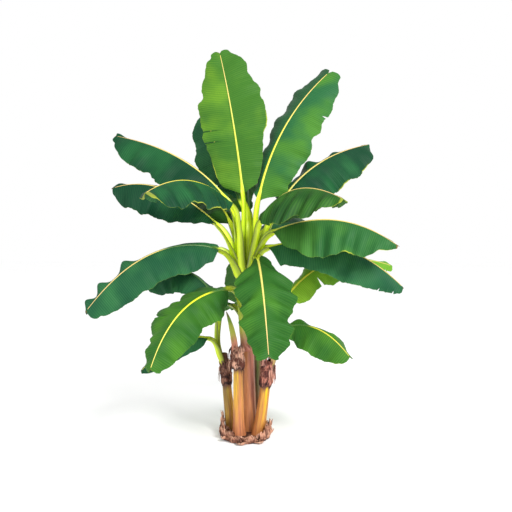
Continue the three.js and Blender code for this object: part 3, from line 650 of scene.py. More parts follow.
# Each leaf leaves its stem at a height, and its midrib runs from the neck over the middle to the tip. Half is the
# greatest width of its left and its right half.
LEAVES = [PLAIN_LEAF | leaf for leaf in (
    {"name": "tall", "at": 1300, "neck": (-55, 40, 1900), "middle": (-140, 110, 2525), "tip": (-250, 200, 3085),
     "half": (265, 265), "blunt": 0.38, "face": (-1, -10, 2), "fold": (4, 4), "tint": "bright", "rib": "green lemon",
     "painted_shading": (0, -0.24, 0), "gilt": ((1, 0.46, 70), (-1, 0.2, 60)), "broad": 0.8, "notch": 20, "waves": (8, 210),
     "left_edge": ((0, 1.1), (0.11, 0.97), (0.27, 0.91), (0.37, 0.95), (0.42, 0.99), (0.46, 0.95), (0.5, 1.04),
                   (0.64, 1.05), (0.69, 0.87), (0.74, 0.96), (0.84, 1), (0.92, 1), (0.96, 0.74), (1, 0.6)),
     "right_edge": ((0, 0.95), (0.13, 0.82), (0.34, 0.82), (0.39, 0.87), (0.46, 1.07), (0.56, 1.06), (0.61, 1.01),
                    (0.68, 1.11), (0.74, 1.02), (0.8, 1), (0.86, 1.15), (0.93, 1.2), (0.97, 0.9)),
     "tears": ((-1, 0.388, 0.3, 5, 9), (-1, 0.462, 0.24, 6, 7))},
    {"name": "upper_right", "at": 1290, "neck": (62, 36, 1848), "middle": (270, 150, 2450), "tip": (655, 300, 2950),
     "half": (225, 282), "widest": 0.52, "blunt": 0.42, "face": (-3, -9, 4), "fold": (38, 16), "tint": "teal",
     "rib": "lemon", "painted_shading": (-0.4, -0.06, 0.3), "broad": 0.98, "notch": 36,
     "left_edge": ((0, 0.6), (0.25, 0.66), (0.38, 0.74), (0.5, 0.78), (0.58, 0.9), (0.7, 1.04), (0.8, 1.18),
                   (0.87, 1.5), (0.95, 2.1), (1, 2.1)),
     "right_edge": ((0, 1.2), (0.11, 1.25), (0.17, 1.02), (0.3, 1), (0.39, 1.07), (0.45, 1), (0.51, 0.88),
                    (0.58, 1.01), (0.64, 0.94), (0.67, 0.93), (0.7, 1.02), (0.76, 1.04), (0.83, 1.04), (0.9, 1.2),
                    (0.98, 0.94)), "tears": ((1, 0.683, 0.8, 14, 6),)},
    {"name": "behind_tall", "at": 1280, "neck": (-65, 140, 1865), "middle": (-240, 340, 2205),
     "tip": (-400, 620, 2690), "half": (240, 240), "widest": 0.5, "face": (-3, -8, 5), "fold": (8, 8),
     "tint": "lake", "rib": "veiled lemon",
     "left_edge": ((0, 0.3), (0.1, 0.34), (0.22, 0.52), (0.36, 0.72), (0.45, 0.9), (0.54, 0.92), (0.62, 0.8),
                   (0.8, 0.96), (0.93, 0.78), (1, 0.7)),
     "right_edge": ((0, 0.3), (0.2, 0.34), (0.34, 0.6), (0.5, 1), (1, 1))},
    {"name": "arched_left", "at": 1270, "neck": (-175, 20, 1865), "middle": (-560, 50, 2205),
     "tip": (-1105, 180, 2405), "half": (275, 270), "widest": 0.48, "blunt": 0.3, "tint": "sea", "rib": "straw",
     "waves": (15, 230),
     "left_edge": ((0, 1), (0.4, 1.03), (0.49, 1.05), (0.53, 0.98), (0.58, 0.88), (0.63, 0.97), (0.74, 1),
                   (0.84, 1.04), (0.93, 0.97), (0.98, 0.74)), "bumps": ((1, 0.975, 60, 26),)},
    {"name": "arched_right", "at": 1270, "neck": (235, 80, 1835), "middle": (565, 260, 2185),
     "tip": (1045, 560, 2390), "half": (280, 290), "widest": 0.5, "blunt": 0.3, "tint": "sea", "rib": "straw",
     "painted_shading": (-0.06, -0.06, 0), "gilt": ((1, 0.5, 60), (1, 0.78, 60)), "waves": (13, 200),
     "right_edge": ((0, 1), (0.37, 1.03), (0.45, 1.04), (0.52, 0.94), (0.59, 0.93), (0.65, 1.02), (0.81, 0.97),
                    (0.93, 1.01), (0.99, 0.6)),
     "bumps": ((-1, 0.43, 50, 54), (-1, 0.17, 50, 50), (-1, 0.66, 40, 26))},
    {"name": "small_right", "at": 1260, "neck": (80, -90, 1695), "middle": (320, -420, 1920),
     "tip": (635, -780, 1835), "half": (260, 304), "widest": 0.42, "face": (0, -2, 10), "tint": "deep",
     "rib": "straw", "gilt": ((1, 0.97, 40),), "dry_tip": 0.006, "ripe_tip": 0.035, "waves": (16, 118),
     "right_edge": ((0, 0.6), (0.13, 0.55), (0.28, 1), (0.42, 1.08), (0.55, 1.22), (0.62, 1.22), (0.665, 0.92),
                    (0.69, 0.92), (0.74, 1.1), (0.78, 1.2), (0.81, 1.14), (0.85, 1.04), (0.9, 0.9), (0.94, 0.8),
                    (0.99, 0.6))},
    {"name": "small_left", "at": 1260, "neck": (-140, -80, 1830), "middle": (-420, -430, 1985),
     "tip": (-685, -850, 1870), "half": (265, 240), "widest": 0.5, "face": (0, -2, 10), "tint": "sea",
     "rib": "lemon", "gilt": ((-1, 0.97, 40), (1, 0.97, 40), (-1, 0.3, 130), (-1, 0.6, 70)), "dry_tip": 0.006,
     "ripe_tip": 0.05, "waves": (14, 150),
     "left_edge": ((0, 1), (0.27, 1.03), (0.5, 1.05), (0.58, 0.89), (0.65, 0.88), (0.77, 1.05), (0.87, 1.15),
                   (0.95, 1.2))},
    {"name": "middle_left", "at": 1240, "neck": (-240, -20, 1660), "middle": (-665, -80, 1950),
     "tip": (-1055, -150, 1955), "half": (250, 250), "widest": 0.7, "blunt": 0.3, "tint": "sea", "rib": "straw",
     "painted_shading": (-0.3, -0.3, 0.6), "stout": 1.25, "waves": (15, 170),
     "left_edge": ((0, 0.5), (0.13, 0.55), (0.2, 0.82), (0.32, 0.98), (0.38, 1.15), (0.5, 1.1), (0.6, 1.05),
                   (0.68, 1.12), (0.78, 1), (0.85, 0.98), (0.91, 1.14)),
     "bumps": ((1, 0.62, 150, 14), (1, 0.92, 40, 24))},
    {"name": "long_right", "at": 1240, "neck": (165, -80, 1615), "middle": (645, -260, 1705),
     "tip": (1085, -420, 1515), "half": (280, 310), "widest": 0.38, "blunt": 0.2, "tint": "moss", "rib": "straw",
     "painted_shading": (-0.05, -0.2, 0.7), "gilt": ((1, 0.66, 50), (1, 0.93, 60)), "dry_tip": 0.03, "stout": 1.5,
     "waves": (9, 130), "left_edge": ((0, 0.4), (0.12, 0.45), (0.25, 0.7), (0.4, 1), (1, 1)),
     "right_edge": ((0, 0.9), (0.1, 0.84), (0.2, 0.86), (0.3, 1.04), (0.48, 1.06), (0.55, 0.99), (0.64, 0.87),
                    (0.73, 0.96), (0.8, 1.04), (0.85, 0.93), (0.89, 0.74), (0.95, 0.72), (1, 0.6))},
    {"name": "low_right", "at": 1210, "neck": (125, -55, 1495), "middle": (695, -80, 1500),
     "tip": (1190, -150, 1185), "half": (260, 265), "widest": 0.5, "tint": "lake", "rib": "lemon",
     "painted_shading": (0.03, 0.03, 0.7), "stout": 1.6, "waves": (9, 190),
     "right_edge": ((0, 2), (0.05, 1.7), (0.12, 1.15), (0.25, 0.98), (0.4, 1), (0.59, 1.05), (0.72, 0.98),
                    (0.86, 0.95), (0.92, 0.97), (0.98, 1.1)),
     "tears": ((1, 0.86, 0.8, 12, 9), (1, 0.9, 0.66, 14, 8), (1, 0.945, 0.76, 12, 7))},
    {"name": "back_high", "at": 1250, "neck": (-10, 120, 1755), "middle": (-40, 520, 2095), "tip": (-105, 980, 2230),
     "half": (240, 240), "face": (0, -1, 10), "fold": (28, 28), "tint": "fresh", "rib": "veiled straw",
     "right_edge": ((0, 0.2), (0.28, 0.24), (0.4, 0.6), (0.47, 0.74), (0.54, 1), (1, 1)),
     "tears": ((1, 0.47, 0.6, 14, 8),)},
    {"name": "back_right", "at": 1230, "neck": (95, 150, 1615), "middle": (330, 560, 1765), "tip": (545, 1000, 1660),
     "half": (250, 250), "face": (0, 0, 10), "fold": (34, 34), "tint": "sea", "rib": "straw",
     "left_edge": ((0, 1), (0.6, 1), (0.66, 0.88), (0.72, 1), (1, 1)), "tears": ((-1, 0.66, 0.55, 12, 8),)},
    {"name": "back_left", "at": 1230, "neck": (-150, 150, 1665), "middle": (-405, 560, 1940),
     "tip": (-755, 1000, 1810), "half": (260, 260), "face": (0, 0, 10), "fold": (30, 30), "tint": "deep",
     "rib": "lemon", "right_edge": ((0, 1), (0.33, 1), (0.4, 0.9), (0.46, 1.02), (0.7, 0.96), (1, 1)),
     "tears": ((1, 0.4, 0.5, 12, 9), (-1, 0.75, 0.6, 10, 6))},
    {"name": "long_left", "at": 1200, "neck": (-225, -50, 1478), "middle": (-745, -220, 1450),
     "tip": (-1205, -400, 1030), "half": (264, 265), "widest": 0.52, "blunt": 0.4, "tint": "lake",
     "rib": "veiled straw", "stout": 1.5, "sweep": (-0.32, 0.28),
     "left_edge": ((0, 1.2), (0.05, 1.1), (0.13, 0.94), (0.2, 1.05), (0.3, 1.04), (0.39, 0.95), (0.52, 0.9),
                   (0.6, 0.95), (0.65, 0.88), (0.72, 0.95), (0.79, 0.96), (0.86, 1.02), (0.93, 1.1), (0.99, 0.9)),
     "bumps": ((1, 0.12, 190, 24), (1, 0.63, 52, 60), (1, 0.82, 44, 54), (1, 0.94, 36, 48))},
    {"name": "back", "at": 1180, "neck": (0, 200, 1450), "middle": (30, 560, 1220), "tip": (200, 860, 715),
     "half": (230, 230), "face": (0, 5, 5), "fold": (25, 25), "tint": "fresh", "rib": "straw", "notch": 30,
     "left_edge": ((0, 1.1), (0.2, 1.1), (0.34, 1.24), (0.5, 1.26), (0.57, 1.1), (0.63, 1.2), (0.8, 1), (1, 0.8)),
     "tears": ((-1, 0.57, 0.4, 12, 9), (1, 0.36, 0.6, 10, 8))},
    {"name": "front", "at": 1170, "neck": (55, -130, 1430), "middle": (95, -480, 1215), "tip": (135, -740, 760),
     "half": (250, 206), "widest": 0.42, "blunt": 0.32, "face": (0, -5, 5), "fold": (22, 22), "tint": "fresh",
     "rib": "straw", "painted_shading": (-0.2, -0.08, 0), "sweep": (0.4, 0.32), "notch": 16, "waves": (18, 152),
     "left_edge": ((0, 0.4), (0.05, 0.45), (0.1, 0.62), (0.17, 1), (0.23, 1.12), (0.36, 0.96), (0.43, 1),
                   (0.49, 0.99), (0.61, 0.84), (0.67, 0.9), (0.73, 0.94), (0.8, 0.98), (0.87, 1.08), (0.94, 1.2),
                   (1, 1)),
     "right_edge": ((0, 0.5), (0.05, 0.56), (0.1, 0.78), (0.17, 1.02), (0.22, 1.17), (0.28, 1), (0.34, 1.02),
                    (0.47, 0.93), (0.58, 0.89), (0.64, 1.02), (0.7, 0.96), (0.75, 1), (0.85, 1.08), (0.91, 1.26),
                    (0.97, 1.2))},
    {"name": "back_low_left", "at": 880, "neck": (-140, 130, 1015), "middle": (-420, 480, 975),
     "tip": (-680, 820, 655), "half": (200, 200), "face": (0, 0, 10), "fold": (30, 30), "tint": "fresh",
     "rib": "blushed", "tail": 120, "left_edge": ((0, 1), (0.4, 1.02), (0.5, 0.9), (0.58, 1), (1, 1)),
     "tears": ((-1, 0.5, 0.5, 12, 8),)},
    {"name": "front_left", "at": 720, "neck": (-160, -140, 1175), "middle": (-480, -470, 1050),
     "tip": (-670, -780, 680), "half": (240, 256), "blunt": 0.28, "face": (-1, -7, 7), "fold": (36, 36),
     "tint": "fresh", "rib": "blushed", "tail": 60, "clasp": 24, "fade": 210, "waves": (9, 120),
     "left_edge": ((0, 1), (0.14, 1.06), (0.24, 1.08), (0.3, 0.98), (0.45, 0.87), (0.61, 0.93), (0.75, 0.94),
                   (0.88, 0.98), (1, 1.1)),
     "right_edge": ((0, 0.95), (0.12, 1), (0.2, 1.2), (0.26, 1.2), (0.32, 1.14), (0.37, 0.94), (0.42, 1.12),
                    (0.49, 1.14), (0.535, 0.9), (0.57, 1), (0.63, 0.94), (0.7, 0.74), (0.79, 0.57), (0.84, 0.62),
                    (0.89, 0.7), (0.95, 0.9), (1, 0.8)), "tears": ((1, 0.365, 0.4, 34, 26), (1, 0.53, 0.4, 34, 26))},
    {"name": "pale_right", "stem": "back_right", "at": 800, "neck": (265, 100, 1035), "middle": (665, 200, 1360),
     "tip": (1200, 300, 1330), "half": (190, 195), "widest": 0.32, "blunt": 0.3, "face": (0, -5, 8),
     "fold": (35, 35), "tint": "lime", "rib": "lemon", "painted_shading": (-0.3, -0.3, 0.8), "dry_tip": 0.015, "tail": 200,
     "left_edge": ((0, 0.6), (0.2, 0.6), (0.28, 0.58), (0.37, 1.04), (0.6, 1), (1, 1.05)),
     "right_edge": ((0, 1), (0.15, 0.96), (0.27, 0.77), (0.33, 0.78), (0.42, 0.99), (0.52, 0.94), (0.8, 1), (1, 1)),
     "tears": ((1, 0.335, 0.3, 22, 14), (1, 0.93, 0.6, 8, 8))},
    {"name": "sucker_right", "stem": "front_right", "at": 560, "neck": (232, -130, 862), "middle": (505, -260, 882),
     "tip": (738, -420, 694), "half": (230, 222), "widest": 0.44, "blunt": 0.35, "fold": (40, 40), "tint": "fresh",
     "rib": "veiled lemon", "gilt": ((-1, 0.3, 60), (-1, 0.75, 70), (1, 0.97, 50)), "tail": 120, "fade": 300,
     "left_edge": ((0, 1), (0.15, 1.05), (0.24, 1.2), (0.32, 0.95), (0.47, 0.98), (0.56, 0.86), (0.67, 0.9),
                   (0.8, 0.84), (1, 0.8)),
     "right_edge": ((0, 0.7), (0.19, 0.74), (0.32, 0.92), (0.46, 0.9), (0.67, 0.99), (0.87, 1.06), (0.94, 1.2),
                    (0.99, 0.9)), "tears": ((1, 0.3, 0.6, 12, 12), (-1, 0.56, 0.5, 12, 6)),
     "bumps": ((-1, 0.22, 50, 40), (-1, 0.66, 40, 16))},
    {"name": "sucker_upper_left", "stem": "back_left", "at": 610, "neck": (-310, 60, 1130),
     "middle": (-570, 90, 1305), "tip": (-835, 120, 1155), "half": (200, 200), "tint": "lake", "rib": "veiled lemon",
     "tail": 120, "fade": 130, "left_edge": ((0, 1), (0.5, 1), (0.65, 1.08), (0.8, 1.05), (0.89, 1.2), (1, 1))},
    {"name": "sucker_lower_left", "stem": "back_left", "at": 550, "neck": (-320, -15, 765),
     "middle": (-570, -60, 745), "tip": (-855, -100, 525), "half": (140, 170), "tint": "lake", "rib": "lemon",
     "broad": 0.9, "tail": 120, "fade": 130, "left_edge": ((0, 1.1), (0.18, 1.05), (0.3, 0.98), (1, 1))},
)]


def unit(vectors):
    return vectors / np.linalg.norm(vectors, axis=-1, keepdims=True)


def midrib_of(leaf):
    """The line of stalk and midrib as points at distances from the neck, negative along the stalk."""
    neck, middle, tip = (np.array(leaf[key], float) for key in ("neck", "middle", "tip"))
    bend = 2 * middle - (neck + tip) / 2
    foot = stem_axis(STEMS[leaf["stem"]], leaf["at"])
    outward = unit((neck - foot) * (1, 1, 0))
    foot = foot + outward * FOOT_OFFSET
    reach = np.linalg.norm(neck - foot) / 3
    rising = unit(outward * FOOT_LEAN + (0, 0, 1))
    first = foot + rising * reach
    second = neck - unit(bend - neck) * reach
    t = np.linspace(0, 1, MIDRIB_POINTS + 1)[:, None]
    stalk = (1 - t) ** 3 * foot + 3 * (1 - t) ** 2 * t * first + 3 * (1 - t) * t**2 * second + t**3 * neck
    blade = (1 - t) ** 2 * neck + 2 * t * (1 - t) * bend + t**2 * tip
    points = np.vstack((stalk[:-1], blade))
    distance = np.concatenate(([0], np.cumsum(np.linalg.norm(np.diff(points, axis=0), axis=-1))))
    stalk_length = distance[MIDRIB_POINTS]
    distance -= stalk_length
    ways = unit(np.gradient(points, distance, axis=0))
    return {"points": points, "distance": distance, "ways": ways, "stalk": stalk_length,
            "blade": distance[-1], "outward": outward}


def along_midrib(leaf, line, distance):
    """Place, upward way and sideways way at distances from the neck. The stalk's groove turns toward its stem."""
    held = np.clip(distance, line["distance"][0], line["distance"][-1])
    place = np.stack([np.interp(held, line["distance"], line["points"][:, k]) for k in range(3)], -1)
    way = unit(np.stack([np.interp(held, line["distance"], line["ways"][:, k]) for k in range(3)], -1))
    place = place + way * (distance - held)[:, None]
    turned = smooth(1 + distance / line["stalk"])[:, None]
    face = -line["outward"] * (1 - turned) + unit(np.array(leaf["face"], float)) * turned
    normal = unit(face - way * np.sum(face * way, -1, keepdims=True))
    return place, normal, np.cross(way, normal)


def blade_outline(share, widest, blunt):
    """The width of one half of a plain blade, as a share of the greatest."""
    before = share < widest
    away = np.where(before, (widest - share) / widest, (share - widest) / (1 - widest))
    full = np.clip(1 - away ** np.where(before, BASE_FULLNESS, TIP_FULLNESS), 0, 1) ** ROUNDNESS
    return np.where(before, full, np.maximum(full, blunt))


def eased(share, points):
    """Values that run smoothly from one (share, value) to the next, level at each."""
    places = [p[0] for p in points]
    values = np.array([p[1] for p in points])
    index = np.interp(share, places, np.arange(len(places)))
    low = np.clip(np.floor(index), 0, len(places) - 2).astype(int)
    part = smooth(index - low)
    return values[low] * (1 - part) + values[low + 1] * part


def lay_blade(leaf, line, span, share):
    """Points of the blade at span, from -1 at the left edge to 1 at the right, and share of its length."""
    side_sign = np.where(span < 0, -1.0, 1.0)
    left = span < 0
    rib = STALK_NECK + (RIB_TIP - STALK_NECK) * share
    bladeness = np.clip(share * BLADE_ONSET, 0, 1)
    length = line["blade"]
    seed = leaf["at"] % 97 + leaf["tip"][0]
    half = np.where(left, leaf["half"][0], leaf["half"][1]) * blade_outline(share, leaf["widest"], leaf["blunt"])
    half = half * np.where(left, eased(share, leaf["left_edge"]), eased(share, leaf["right_edge"]))
    station = share * length
    half = half * (1 + EDGE_WAVER * wander(station / EDGE_WAVER_LENGTH + side_sign, seed))
    half = half - LOBE_DEPTH * (1 - np.abs(np.sin(math.pi * station / LOBE_LENGTH + side_sign + seed))) ** 2
    past = np.clip((share - 1 + TIP_ROUNDING) / TIP_ROUNDING, 0, 1)
    half = half * bladeness * np.sqrt(1 - past**2)
    half = np.maximum(half, rib * LEAST_WIDTH)
    u = np.abs(span) * half
    free = np.clip(u - rib, 0, None)
    width = np.maximum(half - rib, 1)
    out_share = free / width
    at_base, at_tip = leaf["sweep"]
    distance = station + (at_base + (at_tip - at_base) * share) * u
    slit = smooth((share - NOTCH_ONSET) / (1 - NOTCH_ONSET)) * np.clip(u / NOTCH_SLOPE, 0, 1)
    distance = distance + leaf["notch"] * slit
    lift = RIPPLE * bladeness * (u / half) ** RIPPLE_ONSET * np.sin(
        2 * math.pi * station / RIPPLE_LENGTH + leaf["at"] + side_sign) * (u > rib)
    lift = lift + DENT * bladeness * out_share**2 * wander(station / DENT_LENGTH + 2 * side_sign, seed)
    lift = lift - BLADE_SINK * rib * (1 - bladeness) * np.clip(1 - (u / rib) ** 2, 0, 1)
    height, spacing = leaf["waves"]
    wavering = WAVE_WAVER * wander(station / WAVE_WAVER_LENGTH, seed)
    folded = np.sin(2 * math.pi * station / spacing + wavering + side_sign)
    lift = lift + height * bladeness * np.clip(out_share * WAVE_ONSET, 0, 1) * folded
    pleat = out_share / PLEAT_PLACE * np.exp(1 - out_share / PLEAT_PLACE)
    for side, place, reach, height in leaf["bumps"]:
        lift = lift + (side_sign == side) * height * pleat * np.exp(-(((share - place) * length / reach) ** 2))
    for side, place, depth, gap, drop in leaf["tears"]:
        apart = (share - place) * length
        opened = (side_sign == side) * smooth((out_share - depth) / (1.001 - depth))
        distance = distance + opened * gap / 2 * np.where(apart > 0, 1, -1) * np.exp(-np.abs(apart) / TEAR_REACH)
        lift = lift + opened * drop * np.where(apart > 0, 1, -LIP_SINK) * np.exp(-np.abs(apart) / LIP_REACH)
    droop = np.radians(np.where(left, leaf["fold"][0], leaf["fold"][1])) * bladeness
    curl = math.radians(EDGE_CURL) * bladeness + 1e-4
    start = droop - curl / 2
    bent = start + curl * out_share
    out = width * (np.sin(bent) - np.sin(start)) / curl
    down = width * (np.cos(start) - np.cos(bent)) / curl
    place, normal, side = along_midrib(leaf, line, distance)
    place = place + side * (side_sign * (np.minimum(u, rib) + out * (u > rib)))[:, None]
    place = place - normal * (down * (u > rib))[:, None]
    facing = normal * np.cos(bent)[:, None] + side * (side_sign * np.sin(bent))[:, None]
    return place + facing * lift[:, None], u * side_sign, out_share


def lay_stalk(leaf, line, across, distance):
    """Points round the stalk and midrib, over the grooved upper side and back under the keel, and how far to the
    side each lies, from -1 to 1."""
    upper = across <= 0.5
    turn = np.where(upper, across * 2, 2 - across * 2)
    t = -np.cos(math.pi * turn)
    on_stalk = np.clip(1 + distance / line["stalk"], 0, 1)
    on_blade = np.clip(distance / line["blade"], 0, 1)
    rib = STALK_FOOT + (STALK_NECK - STALK_FOOT) * on_stalk + (RIB_TIP - STALK_NECK) * on_blade
    bladeness = np.clip(on_blade * BLADE_ONSET, 0, 1)
    round_off = np.sqrt(np.clip(1 - t * t, 0, 1))
    stout = rib * (1 + (leaf["stout"] - 1) * (1 - bladeness))
    groove = stout * (GROOVE_LIPS - GROOVE_DEPTH * (1 - t * t))
    belly = stout * (GROOVE_LIPS * t * t - BELLY_DEPTH * round_off)
    vein_top = (VEIN_TOP * rib + 1) * (1 - t**4)
    vein_keel = -rib * KEEL_DEPTH * round_off
    height = np.where(upper, groove * (1 - bladeness) + vein_top * bladeness,
                      belly * (1 - bladeness) + vein_keel * bladeness)
    narrowed = 1 - RIB_NARROWING * smooth(on_blade * RIB_ONSET)
    broad = rib * t * (leaf["broad"] * (1 - bladeness) + bladeness) * narrowed
    place, normal, side = along_midrib(leaf, line, np.maximum(distance, -line["stalk"]))
    stalk = place + side * broad[:, None] + normal * height[:, None]
    # Below, the same skin opens round the stem and lies down on it.
    stem = STEMS[leaf["stem"]]
    below = np.clip(-line["stalk"] - distance, 0, None)
    level = place[:, 2] - below
    heading = math.atan2(line["outward"][1], line["outward"][0])
    tail = below / leaf["tail"]
    clasp = np.radians(leaf["clasp"] + CLASP_SPREAD * tail)
    on_main = leaf["stem"] == "main"
    outer = INNER_LAYER + (HIGHEST_LEAF - leaf["at"]) / LAYER_DROP if on_main else SUCKER_LAYER
    thick = np.where(upper, -FOOT_SINK, (outer + FOOT_BULGE * round_off) * (1 - tail**2) - TAIL_SINK * tail)
    hug = round_line(stem_axis(stem, level), stem_radius(stem, level) + thick, heading - t * clasp)
    clasped = smooth((OPENING_START - line["stalk"] - distance) / OPENING_LENGTH)[:, None]
    return stalk * (1 - clasped) + hug * clasped, t


# The tones of the blades, and those of the midribs and stalks: the stalk, the middle and the tip of the rib, and
# the foot below. A veiled rib is hidden under green as far as that place along the blade, in metres.
TINTS = {
    "bright": {"light": (90, 132, 34), "dark": (50, 98, 32), "vein": (112, 150, 50)},
    "teal": {"light": (66, 116, 34), "dark": (30, 84, 48), "vein": (84, 136, 70)},
    "fresh": {"light": (66, 118, 34), "dark": (36, 86, 30), "vein": (98, 146, 54)},
    "moss": {"light": (64, 118, 46), "dark": (34, 86, 42), "vein": (92, 142, 72)},
    "deep": {"light": (48, 96, 30), "dark": (24, 64, 24), "vein": (78, 122, 46)},
    "sea": {"light": (30, 86, 46), "dark": (12, 54, 34), "vein": (54, 110, 66)},
    "lake": {"light": (44, 100, 56), "dark": (22, 72, 46), "vein": (76, 128, 82)},
    "lime": {"light": (126, 174, 44), "dark": (96, 150, 40), "vein": (164, 196, 74)},
}
PLAIN_RIB = {"low": (156, 128, 66), "veiled": -0.5}
RIBS = {
    "lemon": {"stalk": (220, 242, 36), "middle": (222, 216, 60), "tip": (218, 182, 100)},
    "green lemon": {"stalk": (200, 226, 40), "middle": (200, 206, 60), "tip": (212, 188, 108)},
    "straw": {"stalk": (220, 242, 36), "middle": (224, 202, 108), "tip": (212, 168, 112)},
    "veiled straw": {"stalk": (212, 234, 38), "middle": (224, 202, 108), "tip": (222, 186, 124), "veiled": 0.42},
    "veiled lemon": {"stalk": (206, 228, 38), "middle": (216, 208, 62), "tip": (218, 182, 100), "veiled": 0.22},
    "blushed": {"stalk": (180, 196, 50), "middle": (232, 230, 44), "tip": (226, 206, 110), "low": (176, 112, 92),
                "veiled": 0.14},
}

# The blade's skin: green in broad uneven areas, lightened and darkened by half and toward the base as painted light
# and shade, with a dark furrow between its side veins, yellowed along the edge where the leaf is gilt, and withered
# at the tip and along the tears. The spacing of the veins is in metres.
VEIN_SPACING = 0.015
group, given = new_skin("blade skin", ("Light", "Dark", "Vein"))
chart = own_map(group)
along_blade = wire(group, "SeparateXYZ", {"Vector": chart}).outputs["Y"]
broad = wire(group, "TexNoise", {"Vector": chart, "Scale": 4.0, "Detail": 1.5}).outputs["Fac"]
painted_shading = marked(group, "painted_shading")
# Painted light and shade: each half and the base are lighter where marked above naught and darker below it.
colour = tinge(group, given["Dark"], given["Light"], math_node(group, "ADD", broad, painted_shading), 0.34, 0.7)
# Painted shade: where the mark falls far below naught the blade darkens further.
colour = tinge(group, colour, seen(8, 40, 18), painted_shading, -0.5, -0.2, 0.6, 0.0)
bands = fibres(group, chart, 3.0, 34.0)
colour = tinge(group, colour, given["Dark"], bands, 0.5, 0.8, 0.0, 0.18)
threads = fibres(group, chart, 5.0, 240.0)
colour = tinge(group, colour, given["Vein"], threads, 0.48, 0.72, 0.0, 0.12)
wave = math_node(group, "SINE", math_node(group, "MULTIPLY", along_blade, 2 * math.pi / VEIN_SPACING))
colour = tinge(group, colour, given["Dark"], wave, 0.0, 1.0, 0.0, 0.5)
colour = tinge(group, colour, given["Vein"], wave, -1.0, -0.3, 0.14, 0.0)
edge = marked(group, "edge")
frayed = unsettle(group, edge, bands, 0.06)
colour = tinge(group, colour, seen(112, 136, 46), frayed, 0.98, 1.0, 0.0, 0.4)
gilt = marked(group, "gilt")
along_edge = math_node(group, "MULTIPLY", gilt, ramp(group, edge, 0.95, 1.0, 0.0, 0.8))
gilded = math_node(group, "MAXIMUM", along_edge, ramp(group, gilt, 1.0, 2.0, 0.0, 0.45))
colour = blend(group, gilded, colour, seen(178, 186, 62))
speckle = wire(group, "TexNoise", {"Vector": chart, "Scale": 60.0, "Detail": 4.0}).outputs["Fac"]
dry = math_node(group, "ADD", marked(group, "dry"), math_node(group, "MULTIPLY", speckle, 0.5))
parched = ramp(group, dry, 0.6, 0.9)
colour = blend(group, parched, colour, seen(112, 88, 44))
dullness = math_node(group, "ADD", ramp(group, broad, 0.3, 0.7, 0.48, 0.6), math_node(group, "MULTIPLY", parched, 0.3))
put_out(group, colour, dullness, math_node(group, "ADD", math_node(group, "MULTIPLY", wave, 0.25), threads))
blade_skin = group


def blade_finish(name, tint, duller):
    tones = {tone: seen(*tint[tone.lower()]) for tone in ("Light", "Dark", "Vein")}
    return wear(name, blade_skin, tones, strength=0.55, depth=0.0016, shine=0.09, duller=duller)


def mixed(tone, other, share):
    """A tone with a share of another one in it."""
    return tuple((1 - share) * own + share * added for own, added in zip(tone, other))


# The underside is duller, with a pale bloom over the same tones.
UNDERSIDE_BLOOM = (168, 196, 150)
BLOOM = 0.2
UNDERSIDE_DULLNESS = 0.15
blades = {}
for name, tint in TINTS.items():
    under = {part: mixed(tone, UNDERSIDE_BLOOM, BLOOM) for part, tone in tint.items()}
    blades[name] = (blade_finish(name + " blade", tint, 0.0),
                    blade_finish(name + " underside", under, UNDERSIDE_DULLNESS))

# The midrib's skin: bright on the stalk and straw toward the tip, with painted shade on its flanks and a painted
# dark line along the lips of the groove.
ribs = {}
for name, own_tones in RIBS.items():
    tones = PLAIN_RIB | own_tones
    material, tree = finish_named(name + " midrib")
    chart = own_map(tree)
    split = wire(tree, "SeparateXYZ", {"Vector": chart})
    along_rib = split.outputs["Y"]
    colour = tinge(tree, seen(*tones["stalk"]), seen(*tones["middle"]), along_rib, -0.05, 0.3)
    colour = tinge(tree, colour, seen(*tones["tip"]), along_rib, 0.35, 1.1)
    before_veil_ends = ramp(tree, along_rib, tones["veiled"], tones["veiled"] + 0.1, 1.0, 0.0)
    green_part = math_node(tree, "MULTIPLY", before_veil_ends, ramp(tree, along_rib, 0.0, 0.05))
    colour = blend(tree, green_part, colour, seen(48, 102, 46))
    threads = fibres(tree, chart, 30.0, 5.0)
    colour = tinge(tree, colour, seen(160, 192, 40), threads, 0.45, 0.75, 0.0, 0.25)
    from_middle = math_node(tree, "ABSOLUTE", split.outputs["X"])
    on_stalk = ramp(tree, along_rib, 0.0, 0.12, 1.0, 0.3)
    # Painted shade: the stalk darkens toward its rounded flanks and in a dark line along the lips of its groove.
    painted_shade_on_flanks = math_node(tree, "MULTIPLY", ramp(tree, from_middle, 0.55, 0.95, 0.0, 0.75), on_stalk)
    colour = blend(tree, painted_shade_on_flanks, colour, seen(124, 146, 22))
    painted_shade_on_lips = math_node(tree, "MULTIPLY", ramp(tree, from_middle, 0.94, 1.0, 0.0, 0.8), on_stalk)
    colour = blend(tree, painted_shade_on_lips, colour, seen(74, 84, 22))
    low = marked(tree, "low")
    colour = blend(tree, low, colour, seen(*tones["low"]))
    stained = math_node(tree, "MULTIPLY", ramp(tree, low, 0.15, 0.5), ramp(tree, threads, 0.5, 0.66, 0.0, 0.6))
    colour = blend(tree, stained, colour, seen(104, 72, 70))
    fine = fibres(tree, chart, 160.0, 12.0)
    cover(tree, colour, ramp(tree, fine, 0.3, 0.8, 0.3, 0.45), fine, 0.35, 0.0015)
    ribs[name] = material

